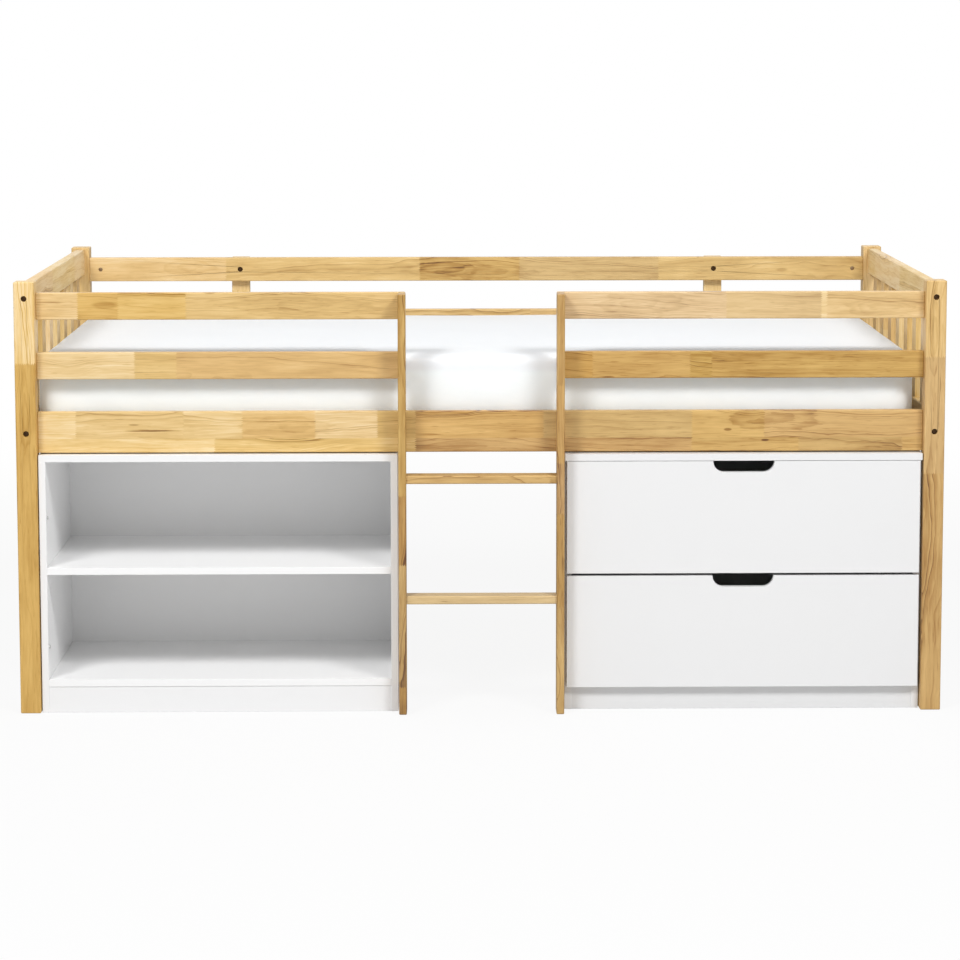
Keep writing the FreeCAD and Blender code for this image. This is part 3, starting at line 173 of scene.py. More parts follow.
def make_pine_group():
    """The figure of one glued block of pine. X runs along the grain, in metres.
    The block is cut from a trunk at a random distance and tilt, so its rings meet the face as lines, waves or
    arches. Fine fibres, soft streaks and a few knots are added to its tone, and the tone picks the colour."""
    group = bpy.data.node_groups.new("pine_figure", "ShaderNodeTree")
    sockets = {"INPUT": (("Vector", "Vector"), ("Tone", "Float"), ("Block", "Float")),
               "OUTPUT": (("Color", "Color"), ("Roughness", "Float"), ("Height", "Float"))}
    for way, pairs in sockets.items():
        for name, kind in pairs:
            group.interface.new_socket(name, in_out=way, socket_type="NodeSocket" + kind)
    tree = Tree(group)
    given = group.nodes.new("NodeGroupInput")
    vector, tone, block = given.outputs[0], given.outputs[1], given.outputs[2]
    first, second, third = tree.split(tree.chance(block))
    fourth, fifth, sixth = tree.split(tree.chance(tree.math("ADD", block, SECOND_CHOICE)))
    along, across, deep = tree.split(vector)

    # Where this block was in the tree
    place = tree.chance(tree.math("ADD", block, PLACE_CHOICE))
    inside = tree.vector("ADD", vector, tree.vector("MULTIPLY", place, (37.0, 11.0, 13.0)))

    # Knots: the middles of some cells, with the rings drawn out round them
    cells = tree.vector("MULTIPLY", inside, KNOT_CELLS)
    knots = tree.add("TexVoronoi", {"Vector": cells, "Scale": 1.0, "Randomness": 1.0}, feature="F1")
    cell_chance = tree.split(knots.outputs["Color"])[0]
    present = tree.math("GREATER_THAN", cell_chance, 1 - KNOT_SHARE)
    reach = tree.math("ADD", knots.outputs["Distance"], tree.math("SUBTRACT", 1.0, present))
    knot = tree.between(reach, 0.05, 0.085, 1.0, 0.0)
    from_rim = tree.math("ABSOLUTE", tree.math("SUBTRACT", reach, 0.075))
    knot_rim = tree.between(from_rim, 0.0, 0.02, 1.0, 0.0)
    pulled = tree.between(reach, 0.05, 0.42, 1.0, 0.0)

    # Growth rings: the distance from the trunk's middle, bent and wavering, over the ring width
    tilt = tree.math("MULTIPLY", tree.centred(fourth), 0.085)
    bow = tree.math("MULTIPLY", tree.centred(tree.noise(inside, (2.6, 8.0, 8.0), 1.0)), 0.075)
    waver = tree.math("MULTIPLY", tree.centred(tree.noise(inside, (9.0, 24.0, 24.0), 2.0)), 0.017)
    off_across = tree.math("MULTIPLY", tree.centred(first), 0.10)
    off_deep = tree.math("MULTIPLY_ADD", second, 0.10, 0.030)
    from_across = tree.math("MULTIPLY_ADD", along, tilt, tree.math("ADD", across, off_across))
    from_deep = tree.math("ADD", tree.math("ADD", deep, off_deep), bow)
    radius = tree.vector("LENGTH", tree.join(0.0, from_across, from_deep))
    radius = tree.math("MULTIPLY_ADD", pulled, 0.009, radius)
    radius = tree.math("ADD", radius, waver)
    width = tree.math("MULTIPLY_ADD", third, RING_WIDTH_MORE, RING_WIDTH)
    uneven = tree.join(tree.math("MULTIPLY", radius, 90.0), block, 0.0)
    spread = tree.noise(uneven, (1.0, 1.0, 1.0), 1.0)
    years = tree.math("MULTIPLY_ADD", spread, 4.0, tree.math("DIVIDE", radius, width))
    season = tree.math("FRACT", years)
    winter = tree.between(season, 0.93, 1.0, 1.0, 0.0)
    late = tree.math("MULTIPLY", tree.between(season, 0.15, 0.90), winter)
    edge = tree.math("MULTIPLY", tree.between(season, 0.78, 0.93), winter)
    year_chance = tree.split(tree.chance(tree.math("FLOOR", years)))[1]
    strength = tree.math("ADD", tree.math("POWER", year_chance, 2.2), 0.22)
    late = tree.math("MULTIPLY", late, strength)
    late = tree.math("MULTIPLY", late, tree.math("MULTIPLY_ADD", sixth, 0.9, 0.35))
    edge = tree.math("MULTIPLY", edge, tree.between(year_chance, 0.45, 0.95))

    # Fibres and streaks
    fibre = tree.centred(tree.noise(inside, (14.0, 560.0, 560.0), 3.0, 0.65))
    streak = tree.centred(tree.noise(inside, (5.5, 95.0, 95.0), 3.0, 0.62))
    cloud = tree.centred(tree.noise(inside, (7.0, 30.0, 30.0), 3.0, 0.6))
    dashes = tree.between(tree.noise(inside, (30.0, 430.0, 430.0), 1.0), 0.63, 0.74)
    resin = tree.between(tree.noise(inside, (9.0, 150.0, 150.0), 2.0, 0.55), 0.62, 0.78)

    darker = tree.math("MULTIPLY", late, LATE_WOOD)
    for part, share in ((edge, RING_EDGE), (fibre, FIBRE), (streak, STREAK), (cloud, CLOUD), (dashes, DASHES),
                        (resin, RESIN), (knot, KNOT), (knot_rim, KNOT_RIM)):
        darker = tree.math("MULTIPLY_ADD", part, share, darker)
    # The colours lie closer together in the pale tones, so the figure is drawn stronger there
    contrast = tree.math("MULTIPLY_ADD", tone, -0.7, 1.4)
    shade = tree.math("MULTIPLY_ADD", darker, contrast, tone, clamp=True)
    # Each block has a hue and a saturation of its own
    feeds = {"Color": tree.ramp(shade, WOOD_TONES), "Hue": tree.math("MULTIPLY_ADD", fifth, 0.008, 0.498),
             "Saturation": tree.math("MULTIPLY_ADD", third, 0.12, 0.95)}
    colour = tree.add("HueSaturation", feeds)
    rough = tree.math("MULTIPLY_ADD", late, -0.10, tree.math("MULTIPLY_ADD", fibre, 0.25, 0.46))
    height = tree.math("MULTIPLY_ADD", late, 0.5, fibre)
    out = group.nodes.new("NodeGroupOutput")
    for socket, value in zip(out.inputs, (colour, rough, height)):
        tree.feed(socket, value)
    return group


PINE_FIGURE = make_pine_group()
# How far a pattern is turned for grain along each axis
TURNS = {"X": (0, 0, 0), "Y": (0, 0, -math.pi / 2), "Z": (0, math.pi / 2, 0)}
# The zigzag of the finger joints, in metres
FINGER_LENGTH = 0.0045
FINGER_PITCH = 0.0042


def block_ramp(tree, share, blocks, start, end):
    """The tone and the number of each block along a strip.
    Blocks give where each starts, in metres, and its tone."""
    stops = [((at - start) / (end - start), (tone, number / len(blocks), 0.0))
             for number, (at, tone) in enumerate(blocks)]
    tones, numbers, _ = tree.add("SeparateColor", {"Color": tree.ramp(share, stops, "CONSTANT")}).outputs
    return tones, numbers


def mark(tree, along, up, tones, at, size, rings, depth):
    """Adds one mark to the tones: an oval with a ragged rim, filled, or drawn as rings like a flat-sawn
    figure. The distance in it is the length of (along, up) from its middle, each over its half size, plus
    noise."""
    offset = tree.join(tree.math("SUBTRACT", along, at[0]), tree.math("SUBTRACT", up, at[1]), 0.0)
    oval = tree.vector("MULTIPLY", offset, (1 / size[0], 1 / size[1], 0.0))
    ragged = tree.noise(tree.join(along, up, at[0]), (14.0, 60.0, 1.0), 3.0)
    distance = tree.math("MULTIPLY_ADD", tree.centred(ragged), 1.2, tree.vector("LENGTH", oval))
    fill = tree.between(distance, 0.55, 1.1, 1.0, 0.0)
    if rings:
        season = tree.math("FRACT", tree.math("MULTIPLY", distance, float(rings)))
        winter = tree.between(season, 0.9, 1.0, 1.0, 0.0)
        line = tree.math("MULTIPLY", tree.between(season, 0.2, 0.88), winter)
        fill = tree.math("MULTIPLY", tree.between(distance, 0.9, 1.15, 1.0, 0.0),
                         tree.math("MULTIPLY_ADD", line, 0.7, 0.3))
    return tree.math("MULTIPLY_ADD", fill, depth, tones)


def pine(name, grain="X", strips=(), seed=0.0, pitch=0.0, length=0.38, tone=(0.12, 0.55), marks=(), rich=1.0):
    """Pine glued from finger-jointed blocks, for one piece.
    Strips give the blocks of each glued strip from the bottom up, as (top edge in metres from the centre,
    blocks). Without strips the blocks follow the block length, shifted for each slat where slats repeat at a
    pitch, and their tones lie in the range of tone. Rich is the piece's saturation against the others."""
    material, tree, surface = new_material("pine_" + name)
    low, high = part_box(name)
    vector = object_place(tree, (low + high) / 2, TURNS[grain])
    along, across, deep = tree.split(vector)
    teeth = tree.math("PINGPONG", tree.math("ADD", across, deep), FINGER_PITCH / 2)
    finger = tree.math("MULTIPLY_ADD", teeth, 2 * FINGER_LENGTH / FINGER_PITCH, -FINGER_LENGTH / 2)
    at = tree.math("ADD", along, finger)
    if strips:
        half = (high - low)["XYZ".index(grain)] / 2
        share = tree.math("DIVIDE", tree.math("ADD", at, half), 2 * half)
        tones = numbers = None
        for index, (top, blocks) in enumerate(strips):
            strip_tone, strip_number = block_ramp(tree, share, blocks, -half, half)
            strip_number = tree.math("ADD", strip_number, seed + 3.17 * index)
            if tones is None:
                tones, numbers = strip_tone, strip_number
            else:
                above = tree.math("GREATER_THAN", deep, strips[index - 1][0])
                tones = tree.mix(above, tones, strip_tone)
                numbers = tree.mix(above, numbers, strip_number)
    else:
        slat = 0.0
        if pitch:
            slat = tree.math("FLOOR", tree.math("ADD", tree.math("DIVIDE", across, pitch), 0.5))
            across = tree.math("SUBTRACT", across, tree.math("MULTIPLY", slat, pitch))
            vector = tree.join(along, across, deep)
        start = tree.split(tree.chance(tree.math("ADD", slat, seed + 0.37)))[0]
        index = tree.math("FLOOR", tree.math("ADD", tree.math("DIVIDE", at, length), start))
        numbers = tree.math("ADD", tree.math("MULTIPLY", slat, 17.0), tree.math("ADD", index, seed + 5.11))
        pick = tree.split(tree.chance(tree.math("ADD", numbers, 0.23)))[1]
        tones = tree.math("MULTIPLY_ADD", pick, tone[1] - tone[0], tone[0])
    for details in marks:
        tones = mark(tree, along, deep, tones, *details)
    feeds = {"Vector": vector, "Tone": tones, "Block": numbers}
    figure = tree.add("Group", node_tree=PINE_FIGURE)
    for key, value in feeds.items():
        tree.feed(figure.inputs[key], value)
    bump = tree.add("Bump", {"Height": figure.outputs["Height"], "Strength": 0.35, "Distance": 0.0004})
    colour = figure.outputs["Color"]
    if rich != 1:
        colour = tree.add("HueSaturation", {"Color": colour, "Saturation": rich})
    tree.feed(surface.inputs["Base Color"], colour)
    tree.feed(surface.inputs["Roughness"], figure.outputs["Roughness"])
    tree.feed(surface.inputs["Normal"], bump)
    surface.inputs["Coat Weight"].default_value = 0.12
    surface.inputs["Coat Roughness"].default_value = 0.35
    return material


def dress(node, material, edge=0.0):
    """Gives a CAD node its material, and a fine rounded edge of that width."""
    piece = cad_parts[node]
    piece.data.materials.clear()
    piece.data.materials.append(material)
    if edge:
        weld = piece.modifiers.new("merge_points", "WELD")
        weld.merge_threshold = 0.00001
        bevel = piece.modifiers.new("soft_edges", "BEVEL")
        bevel.width = edge
        bevel.segments = 2
        bevel.limit_method = "ANGLE"
        bevel.angle_limit = math.radians(40)


# Board, sheet, metal and nylon


def white_board(name, tint, edge=1.0, rough=0.36):
    """White foil-faced board: a satin face with the faint orange peel and cloudiness of pressed foil.
    The boards' front edges are painted darker, to the edge share of the tint's brightness: painted shade
    for the faces that take the most lamp light."""
    material, tree, surface = new_material(name)
    vector = object_place(tree)
    cloud = tree.noise(vector, (7.0, 7.0, 7.0), 3.0)
    peel = tree.noise(vector, (850.0, 850.0, 850.0), 2.0)
    level = tree.between(cloud, 0.3, 0.7, 0.9995, 1.0)
    # Painted shade: the front edges are darkened to the edge share of the tint
    if edge < 1:
        depth = tree.split(vector)[1]
        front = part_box("bookcase_top")[0].y
        face = tree.between(depth, front + 0.0006, front + 0.0012, edge, 1.0)
        level = tree.math("MULTIPLY", level, face)
    tree.feed(surface.inputs["Base Color"], tree.vector("MULTIPLY", tint, level))
    tree.feed(surface.inputs["Roughness"], tree.math("MULTIPLY_ADD", cloud, 0.08, rough - 0.04))
    bump = tree.add("Bump", {"Height": peel, "Strength": 0.12, "Distance": 0.0002})
    tree.feed(surface.inputs["Normal"], bump)
    return material


THREAD_PITCH = 0.0009  # of the weave, in metres
# The sheet's colours, each from dark to pale threads, and the heights between which the side's goes over
# to the top's. The side's colour is painted light: paler and bluer than the top's, to lift the shade and the
# wood's warm bounce on the mattress's sides.
SHEET_TOP = [(0.2, (0.805, 0.835, 0.87)), (0.8, (0.832, 0.857, 0.887))]
SHEET_SIDE_PAINTED_LIGHT = [(0.2, (0.865, 0.932, 0.99)), (0.8, (0.895, 0.953, 0.998))]
PAINTED_SIDE_END, TOP_START = 0.724, 0.742


def cotton_sheet():
    """White cotton: a plain weave, slubs along it and soft creases. The side of the mattress, up to its top
    edge, is painted paler and bluer than the top: painted light that lifts the shade on the sides."""
    material, tree, surface = new_material("cotton_sheet")
    vector = object_place(tree)
    x, y, z = tree.split(vector)
    turns = 2 * math.pi / THREAD_PITCH
    side = tree.math("ADD", y, z)
    warp = tree.math("SINE", tree.math("MULTIPLY", x, turns))
    weft = tree.math("SINE", tree.math("MULTIPLY", side, turns))
    weave = tree.math("MULTIPLY", warp, weft)
    slub = tree.noise(vector, (60.0, 900.0, 900.0), 2.0)
    crease = tree.noise(vector, (5.0, 7.0, 9.0), 3.0, 0.55)
    height = tree.math("MULTIPLY_ADD", weave, 0.10, tree.math("MULTIPLY", slub, 0.12))
    fine = tree.add("Bump", {"Height": height, "Strength": 0.35, "Distance": 0.0006})
    soft = tree.add("Bump", {"Height": crease, "Strength": 0.35, "Distance": 0.010, "Normal": fine})
    threads = tree.math("MULTIPLY_ADD", weave, 0.12, slub)
    top = tree.ramp(threads, SHEET_TOP)
    # Painted light: the sides get a paler, bluer colour than the top, lifting their shade and the wood's warm
    # bounce
    painted_side = tree.ramp(threads, SHEET_SIDE_PAINTED_LIGHT)
    share = tree.between(z, PAINTED_SIDE_END, TOP_START)
    tree.feed(surface.inputs["Base Color"], tree.blend(share, painted_side, top))
    surface.inputs["Roughness"].default_value = 0.92
    surface.inputs["Sheen Weight"].default_value = 0.15
    # Light goes through the cloth and the foam, which keeps shaded folds pale
    surface.inputs["Subsurface Weight"].default_value = 0.75
    surface.inputs["Subsurface Radius"].default_value = (1.0, 1.0, 1.0)
    surface.inputs["Subsurface Scale"].default_value = 0.035
    tree.feed(surface.inputs["Normal"], soft)
    return material


def metal(name, colour, rough, metallic=1.0, grain=1500.0, wear=0.10):
    """Plated or painted metal: a fine grain in its roughness and its height."""
    material, tree, surface = new_material(name)
    vector = object_place(tree)
    fine = tree.noise(vector, (grain, grain, grain), 2.0)
    patch = tree.noise(vector, (90.0, 90.0, 90.0), 2.0)
    darker = [c * (1 - wear) for c in colour]
    tint = tree.ramp(tree.between(patch, 0.3, 0.7), [(0.0, darker), (1.0, colour)])
    tree.feed(surface.inputs["Base Color"], tint)
    surface.inputs["Metallic"].default_value = metallic
    tree.feed(surface.inputs["Roughness"], tree.math("MULTIPLY_ADD", patch, 0.16, rough - 0.08))
    bump = tree.add("Bump", {"Height": fine, "Strength": 0.2, "Distance": 0.00008})
    tree.feed(surface.inputs["Normal"], bump)
    return material


# Frame pieces. Blocks are given as (start in metres from the piece's middle, tone from 0 pale to 1 dark)

half_guard = 0.3925  # half the length of a front guard
half_rail = 0.9465  # and of a long rail
# The finger-jointed blocks that the photo shows
FRONT_LEFT_UPPER = [(-half_guard, 0.19), (-0.304, 0.41), (-0.218, 0.31), (-0.076, 0.38)]
FRONT_LEFT_MIDDLE = [(-half_guard, 0.20), (-0.184, 0.32), (-0.096, 0.42)]
FRONT_RIGHT_UPPER = [(-half_guard, 0.27), (-0.032, 0.38), (0.170, 0.12), (0.183, 0.28)]
FRONT_RIGHT_MIDDLE = [(-half_guard, 0.60), (-0.317, 0.58), (-0.110, 0.60), (-0.064, 0.62)]
SIDE_RAIL_UPPER = [(-half_rail, 0.08), (-0.872, 0.26), (-0.638, 0.16), (-0.511, 0.30), (-0.356, 0.20),
                   (-0.224, 0.44), (-0.145, 0.45), (0.126, 0.54), (0.445, 0.48), (0.605, 0.50)]
SIDE_RAIL_LOWER = [(-half_rail, 0.12), (-0.574, 0.24), (-0.145, 0.62), (0.445, 0.56), (0.679, 0.64),
                   (0.902, 0.44)]
LEFT_STILE = [(-0.4525, 0.80), (-0.393, 0.68), (-0.13, 0.76), (0.02, 0.66)]
RIGHT_STILE = [(-0.4525, 0.64), (-0.22, 0.72), (-0.02, 0.70), (0.09, 0.62), (0.255, 0.66)]
LEFT_POST = [(-0.465, 0.47), (0.29, 0.06)]
RIGHT_POST = [(-0.465, 0.57), (0.05, 0.50), (0.30, 0.32)]
BACK_UPPER = [(-half_rail, 0.24), (-0.62, 0.36), (-0.143, 0.54), (0.103, 0.55), (0.44, 0.42)]

# Marks: (along, up) and half sizes in metres, the number of rings or 0, and how much darker
LEFT_GUARD_MARKS = [((-0.247, 0.003), (0.034, 0.009), 0, 0.24), ((-0.36, 0.009), (0.040, 0.0022), 0, 0.42),
                    ((0.16, 0.0), (0.16, 0.020), 2, 0.14)]
RIGHT_GUARD_MARKS = [((-0.213, 0.004), (0.095, 0.022), 2, 0.16), ((0.30, -0.004), (0.09, 0.018), 3, 0.14)]
SIDE_RAIL_MARKS = [((-0.700, 0.003), (0.055, 0.0028), 0, 0.55), ((-0.742, 0.016), (0.012, 0.002), 0, 0.4),
                   ((0.630, 0.026), (0.100, 0.026), 2, 0.20), ((0.528, 0.003), (0.008, 0.003), 0, 0.4),
                   ((0.608, -0.020), (0.010, 0.003), 0, 0.35), ((-0.41, 0.012), (0.10, 0.026), 2, 0.12)]
BACK_GUARD_MARKS = [((-0.085, 0.004), (0.105, 0.023), 1.6, 0.24), ((0.03, -0.006), (0.12, 0.018), 2, 0.15),
                    ((0.745, -0.003), (0.016, 0.005), 0, 0.24), ((-0.70, 0.004), (0.06, 0.02), 2, 0.13)]
RIGHT_POST_MARKS = [((0.345, 0.004), (0.085, 0.012), 2, 0.16)]
LEFT_POST_MARKS = [((0.18, 0.0), (0.10, 0.012), 2, 0.16)]

# From one slat to the next, and the widths of the rounded edges of wood and board, in metres
END_SLAT_PITCH = 0.11975
DECK_SLAT_PITCH = 0.15067
SOFT_EDGE = 0.0005
BOARD_EDGE = 0.0006

# Each piece's figure. Seeds keep the figures of the pieces apart
WOOD = {
    "front_left_upper_guard": dict(strips=[(1, FRONT_LEFT_UPPER)], seed=11.0, marks=LEFT_GUARD_MARKS,
                                    rich=1.04),
    "front_left_middle_guard": dict(strips=[(1, FRONT_LEFT_MIDDLE)], seed=12.0),
    "front_right_upper_guard": dict(strips=[(1, FRONT_RIGHT_UPPER)], seed=13.0, marks=RIGHT_GUARD_MARKS,
                                     rich=0.90),
    "front_right_middle_guard": dict(strips=[(1, FRONT_RIGHT_MIDDLE)], seed=14.0, rich=1.09),
    "front_side_rail": dict(strips=[(-0.014, SIDE_RAIL_LOWER), (1, SIDE_RAIL_UPPER)], seed=15.0,
                            marks=SIDE_RAIL_MARKS),
    "back_upper_guard": dict(strips=[(1, BACK_UPPER)], seed=16.0, marks=BACK_GUARD_MARKS),
    "back_middle_guard": dict(seed=17.0, tone=(0.2, 0.5)),
    "back_side_rail": dict(seed=18.0, tone=(0.2, 0.5)),
    "front_left_post": dict(grain="Z", strips=[(1, LEFT_POST)], seed=19.0, marks=LEFT_POST_MARKS, rich=1.08),
    "front_right_post": dict(grain="Z", strips=[(1, RIGHT_POST)], seed=20.0, marks=RIGHT_POST_MARKS),
    "back_left_post": dict(grain="Z", seed=21.0, tone=(0.15, 0.4)),
    "back_right_post": dict(grain="Z", seed=22.0, tone=(0.15, 0.4)),
    "ladder_left_stile": dict(grain="Z", strips=[(1, LEFT_STILE)], seed=23.0),
    "ladder_right_stile": dict(grain="Z", strips=[(1, RIGHT_STILE)], seed=24.0),
    "ladder_lower_rung": dict(strips=[(1, [(-0.18, 0.42)])], seed=25.0, rich=0.82),
    "ladder_upper_rung": dict(strips=[(1, [(-0.18, 0.54), (0.145, 0.64)])], seed=26.0),
    "left_end_top_rail": dict(grain="Y", seed=27.0, tone=(0.0, 0.16)),
    "right_end_top_rail": dict(grain="Y", seed=28.0, tone=(0.0, 0.2)),
    "left_end_bottom_rail": dict(grain="Y", seed=29.0, tone=(0.1, 0.4)),
    "right_end_bottom_rail": dict(grain="Y", seed=30.0, tone=(0.1, 0.4)),
    "left_end_slats": dict(grain="Z", seed=31.0, pitch=END_SLAT_PITCH, tone=(0.1, 0.5), length=0.6),
    "right_end_slats": dict(grain="Z", seed=32.0, pitch=END_SLAT_PITCH, tone=(0.1, 0.5), length=0.6),
    "back_left_upright": dict(grain="Z", seed=33.0, tone=(0.2, 0.4)),
    "back_right_upright": dict(grain="Z", seed=34.0, tone=(0.2, 0.4)),
    "slat_ledgers": dict(seed=35.0, tone=(0.2, 0.5)),
    "deck_slats": dict(grain="Y", seed=36.0, pitch=DECK_SLAT_PITCH, tone=(0.1, 0.55), length=1.2),
}
for node, figure in WOOD.items():
    dress(node, pine(node, **figure), SOFT_EDGE)

# Copies of one white board. The chest's, the drawer bottoms' and the shelves' are painted greyer than the
# bookcase's: painted shade. The front edges of the bookcase and the shelves are painted darker by the given
# share: painted shade.
WHITE_BOARD = white_board("white_board", (0.955, 0.955, 0.955), 0.875)
CHEST_BOARD_PAINTED_SHADE = white_board("chest_white_board_painted_shade", (0.782, 0.783, 0.786))
THIN_BOARD = white_board("thin_white_board", (0.955, 0.955, 0.955), rough=0.5)
SHELF_BOARD_PAINTED_SHADE = white_board("shelf_white_board_painted_shade", (0.935, 0.935, 0.935), 0.94)
DRAWER_BOARD_PAINTED_SHADE = white_board("drawer_bottom_white_board_painted_shade", (0.782, 0.783, 0.786), rough=0.5)
# Painted shadow: the plinths are painted greyer than the boards above them, the chest's darkest, where they
# stand back under the drawer fronts and the bottom shelf
PLINTH_BOARD_PAINTED_SHADE = white_board("plinth_white_board", (0.834, 0.834, 0.837))
FOOT_BOARD_PAINTED_SHADOW = white_board("chest_plinth_white_board_painted_shadow", (0.745, 0.746, 0.748))
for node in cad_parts:
    if node in ("bookcase_back", "chest_back"):
        dress(node, THIN_BOARD)
    elif node.endswith("drawer_bottom"):
        dress(node, DRAWER_BOARD_PAINTED_SHADE)
    elif node.endswith("_plinth"):
        dress(node, PLINTH_BOARD_PAINTED_SHADE if node.startswith("bookcase") else FOOT_BOARD_PAINTED_SHADOW, BOARD_EDGE)
    elif node.endswith("_shelf"):
        dress(node, SHELF_BOARD_PAINTED_SHADE, BOARD_EDGE)
    elif node.startswith("bookcase"):
        dress(node, WHITE_BOARD, BOARD_EDGE)
    elif node.startswith("chest") or node.endswith(("_drawer_front", "_drawer_sides", "_drawer_back")):
        dress(node, CHEST_BOARD_PAINTED_SHADE, BOARD_EDGE)

ZINC = metal("zinc_plate", (0.63, 0.63, 0.61), 0.34)
BRONZE = metal("bronzed_steel", (0.10, 0.058, 0.030), 0.36)
BRASS = metal("bronzed_nut", (0.34, 0.24, 0.15), 0.42)
RUNNER_PAINT = metal("runner_powder_coat", (0.84, 0.84, 0.83), 0.42, 0.0, 700.0, 0.03)
NYLON = metal("roller_nylon", (0.88, 0.88, 0.84), 0.46, 0.0, 400.0, 0.04)
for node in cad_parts:
    if node.endswith("_runners"):
        dress(node, RUNNER_PAINT)
    elif node.endswith("_rollers"):
        dress(node, NYLON)

# Fasteners. A profile is its head's rings from the outer face inwards, as (radius, depth, outline) in
# millimetres. An outline gives the radius's share at each of the ring's points

SIDES = 24
ROUND = np.ones(SIDES)
angles = np.arange(SIDES) * 2 * math.pi / SIDES
HEXAGON = math.cos(math.pi / 6) / np.cos(angles % (math.pi / 3) - math.pi / 6)
CROSS = np.where(np.arange(SIDES) % 6 == 0, 1.0, 0.42)
SLOT = np.where(np.arange(SIDES) % 12 == 0, 1.0, 0.16)
BOLT = [(0, 3.2, ROUND), (2.9, 3.2, HEXAGON), (2.9, 0.5, HEXAGON), (3.3, 0.1, HEXAGON), (3.9, 0, ROUND),
        (4.6, 0.15, ROUND), (5.3, 0.7, ROUND), (5.7, 1.7, ROUND), (5.7, 4.9, ROUND), (5.5, 5, ROUND)]
SCREW = [(0, 1.7, ROUND), (1.5, 1.5, CROSS), (2.3, 0.15, CROSS), (2.9, 0.1, ROUND), (3.5, 0.45, ROUND),
         (3.9, 1.2, ROUND), (4.0, 2.0, ROUND), (3.9, 2.6, ROUND)]
NUT = [(0, 1.4, ROUND), (3.5, 1.4, SLOT), (3.8, 0.05, SLOT), (4.1, 0, ROUND), (4.6, 0.3, ROUND),
       (4.72, 0.9, ROUND)]
# Radius of each shank and length of each fastener, in millimetres
BOLT_SHANK, SCREW_SHANK, NUT_BODY = 2.9, 2, 4.72
FRAME_BOLT, UPRIGHT_BOLT, LADDER_SCREW, UNIT_SCREW, NUT_LENGTH = 31, 30, 30, 22, 14


def turned_fasteners(name, profile, shank, length, places, material):
    """Every fastener of one CAD group as one mesh. Each is a stack of rings round its axis: the profile's
    rings, then the shank to its rounded tip. Places are points of the outer face and the way in, in
    metres."""
    rings = profile + [(shank, profile[-1][1], ROUND), (shank, length - 0.6, ROUND),
                       (shank * 0.8, length, ROUND), (0, length, ROUND)]
    shape = np.array([radius * outline for radius, _, outline in rings]) / 1000
    depth = np.array([level for _, level, _ in rings])[:, None] / 1000 * np.ones(SIDES)
    row, column = np.divmod(np.arange((len(rings) - 1) * SIDES), SIDES)
    after = (column + 1) % SIDES
    quads = np.column_stack([row * SIDES + column, row * SIDES + after,
                             (row + 1) * SIDES + after, (row + 1) * SIDES + column])
    points, faces = [], []
    for number, (point, way) in enumerate(places):
        way = np.array(way, float)
        side = np.cross(way, (0, 0, 1))
        up = np.cross(side, way)
        spin = angles + number * 0.7
        ring = np.cos(spin)[None, :, None] * side + np.sin(spin)[None, :, None] * up
        points.append((np.array(point) + shape[..., None] * ring + depth[..., None] * way).reshape(-1, 3))
        faces.append(quads + number * len(rings) * SIDES)
    mesh = bpy.data.meshes.new(name)
    mesh.from_pydata(np.concatenate(points), [], np.concatenate(faces).tolist())
    piece = bpy.data.objects.new(name, mesh)
    scene.collection.objects.link(piece)
    close_mesh(piece)
    mesh.materials.append(material)
    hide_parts(name.replace("detailed_", ""))
    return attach(piece, "bed")


def close_mesh(piece):
    """Merges the points of poles and turns every face outwards."""
    bpy.ops.object.select_all(action="DESELECT")
    bpy.context.view_layer.objects.active = piece
    piece.select_set(True)
    bpy.ops.object.mode_set(mode="EDIT")
    bpy.ops.mesh.select_all(action="SELECT")
    bpy.ops.mesh.remove_doubles(threshold=0.000002)
    bpy.ops.mesh.normals_make_consistent(inside=False)
    bpy.ops.object.mode_set(mode="OBJECT")
    bpy.ops.object.shade_smooth_by_angle(angle=math.radians(35))


def both(value):
    """The places left and right of the middle."""
    return (-value, value)


# Where the fasteners sit, in metres: the heights of their rows, then how far from the middle the bolts of
# the posts, the nuts, the uprights' bolts and the stiles' screws are
long_rail_rows = (0.628, 0.74875, 0.87625)
upright_rows = (0.606, 0.74875, 0.87625)
end_rail_rows = (0.606, 0.8945)
unit_rows = (0.141, 0.4215)
post_axis, nut_axis, upright_axis, stile_axis = 0.96825, 0.9195, 0.579, 0.16875
rail_axes = (-0.45025, 0.47825)  # front and back long rails, from the middle
nut_faces = ((-0.4416, -1), (0.4696, 1))  # the face that each nut lies in, and its way in
unit_screw_places = ((-1, -0.46175), (1, -0.4505))  # the side, and the depth
unit_screw_face = 0.9269

end_low, end_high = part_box("end_panel_bolts")
rail_low, rail_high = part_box("rail_bolts")
upright_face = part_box("upright_bolts")[0].y
ladder_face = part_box("ladder_screws")[1].y
END_BOLTS = [((x, y, z), (0, way, 0)) for x in both(post_axis) for z in end_rail_rows
             for y, way in ((end_low.y, 1), (end_high.y, -1))]
RAIL_BOLTS = [((x, y, z), (way, 0, 0)) for x, way in ((rail_low.x, 1), (rail_high.x, -1))
              for y in rail_axes for z in long_rail_rows]
NUTS = [((x, y, z), (0, way, 0)) for x in both(nut_axis) for y, way in nut_faces for z in long_rail_rows]
UPRIGHT_BOLTS = [((x, upright_face, z), (0, 1, 0)) for x in both(upright_axis) for z in upright_rows]
LADDER_SCREWS = [((x, ladder_face, z), (0, -1, 0)) for x in both(stile_axis) for z in upright_rows]
UNIT_SCREWS = [((way * unit_screw_face, y, z), (way, 0, 0)) for way, y in unit_screw_places
               for z in unit_rows]
turned_fasteners("detailed_end_panel_bolts", BOLT, BOLT_SHANK, FRAME_BOLT, END_BOLTS, BRONZE)
turned_fasteners("detailed_rail_bolts", BOLT, BOLT_SHANK, FRAME_BOLT, RAIL_BOLTS, BRONZE)
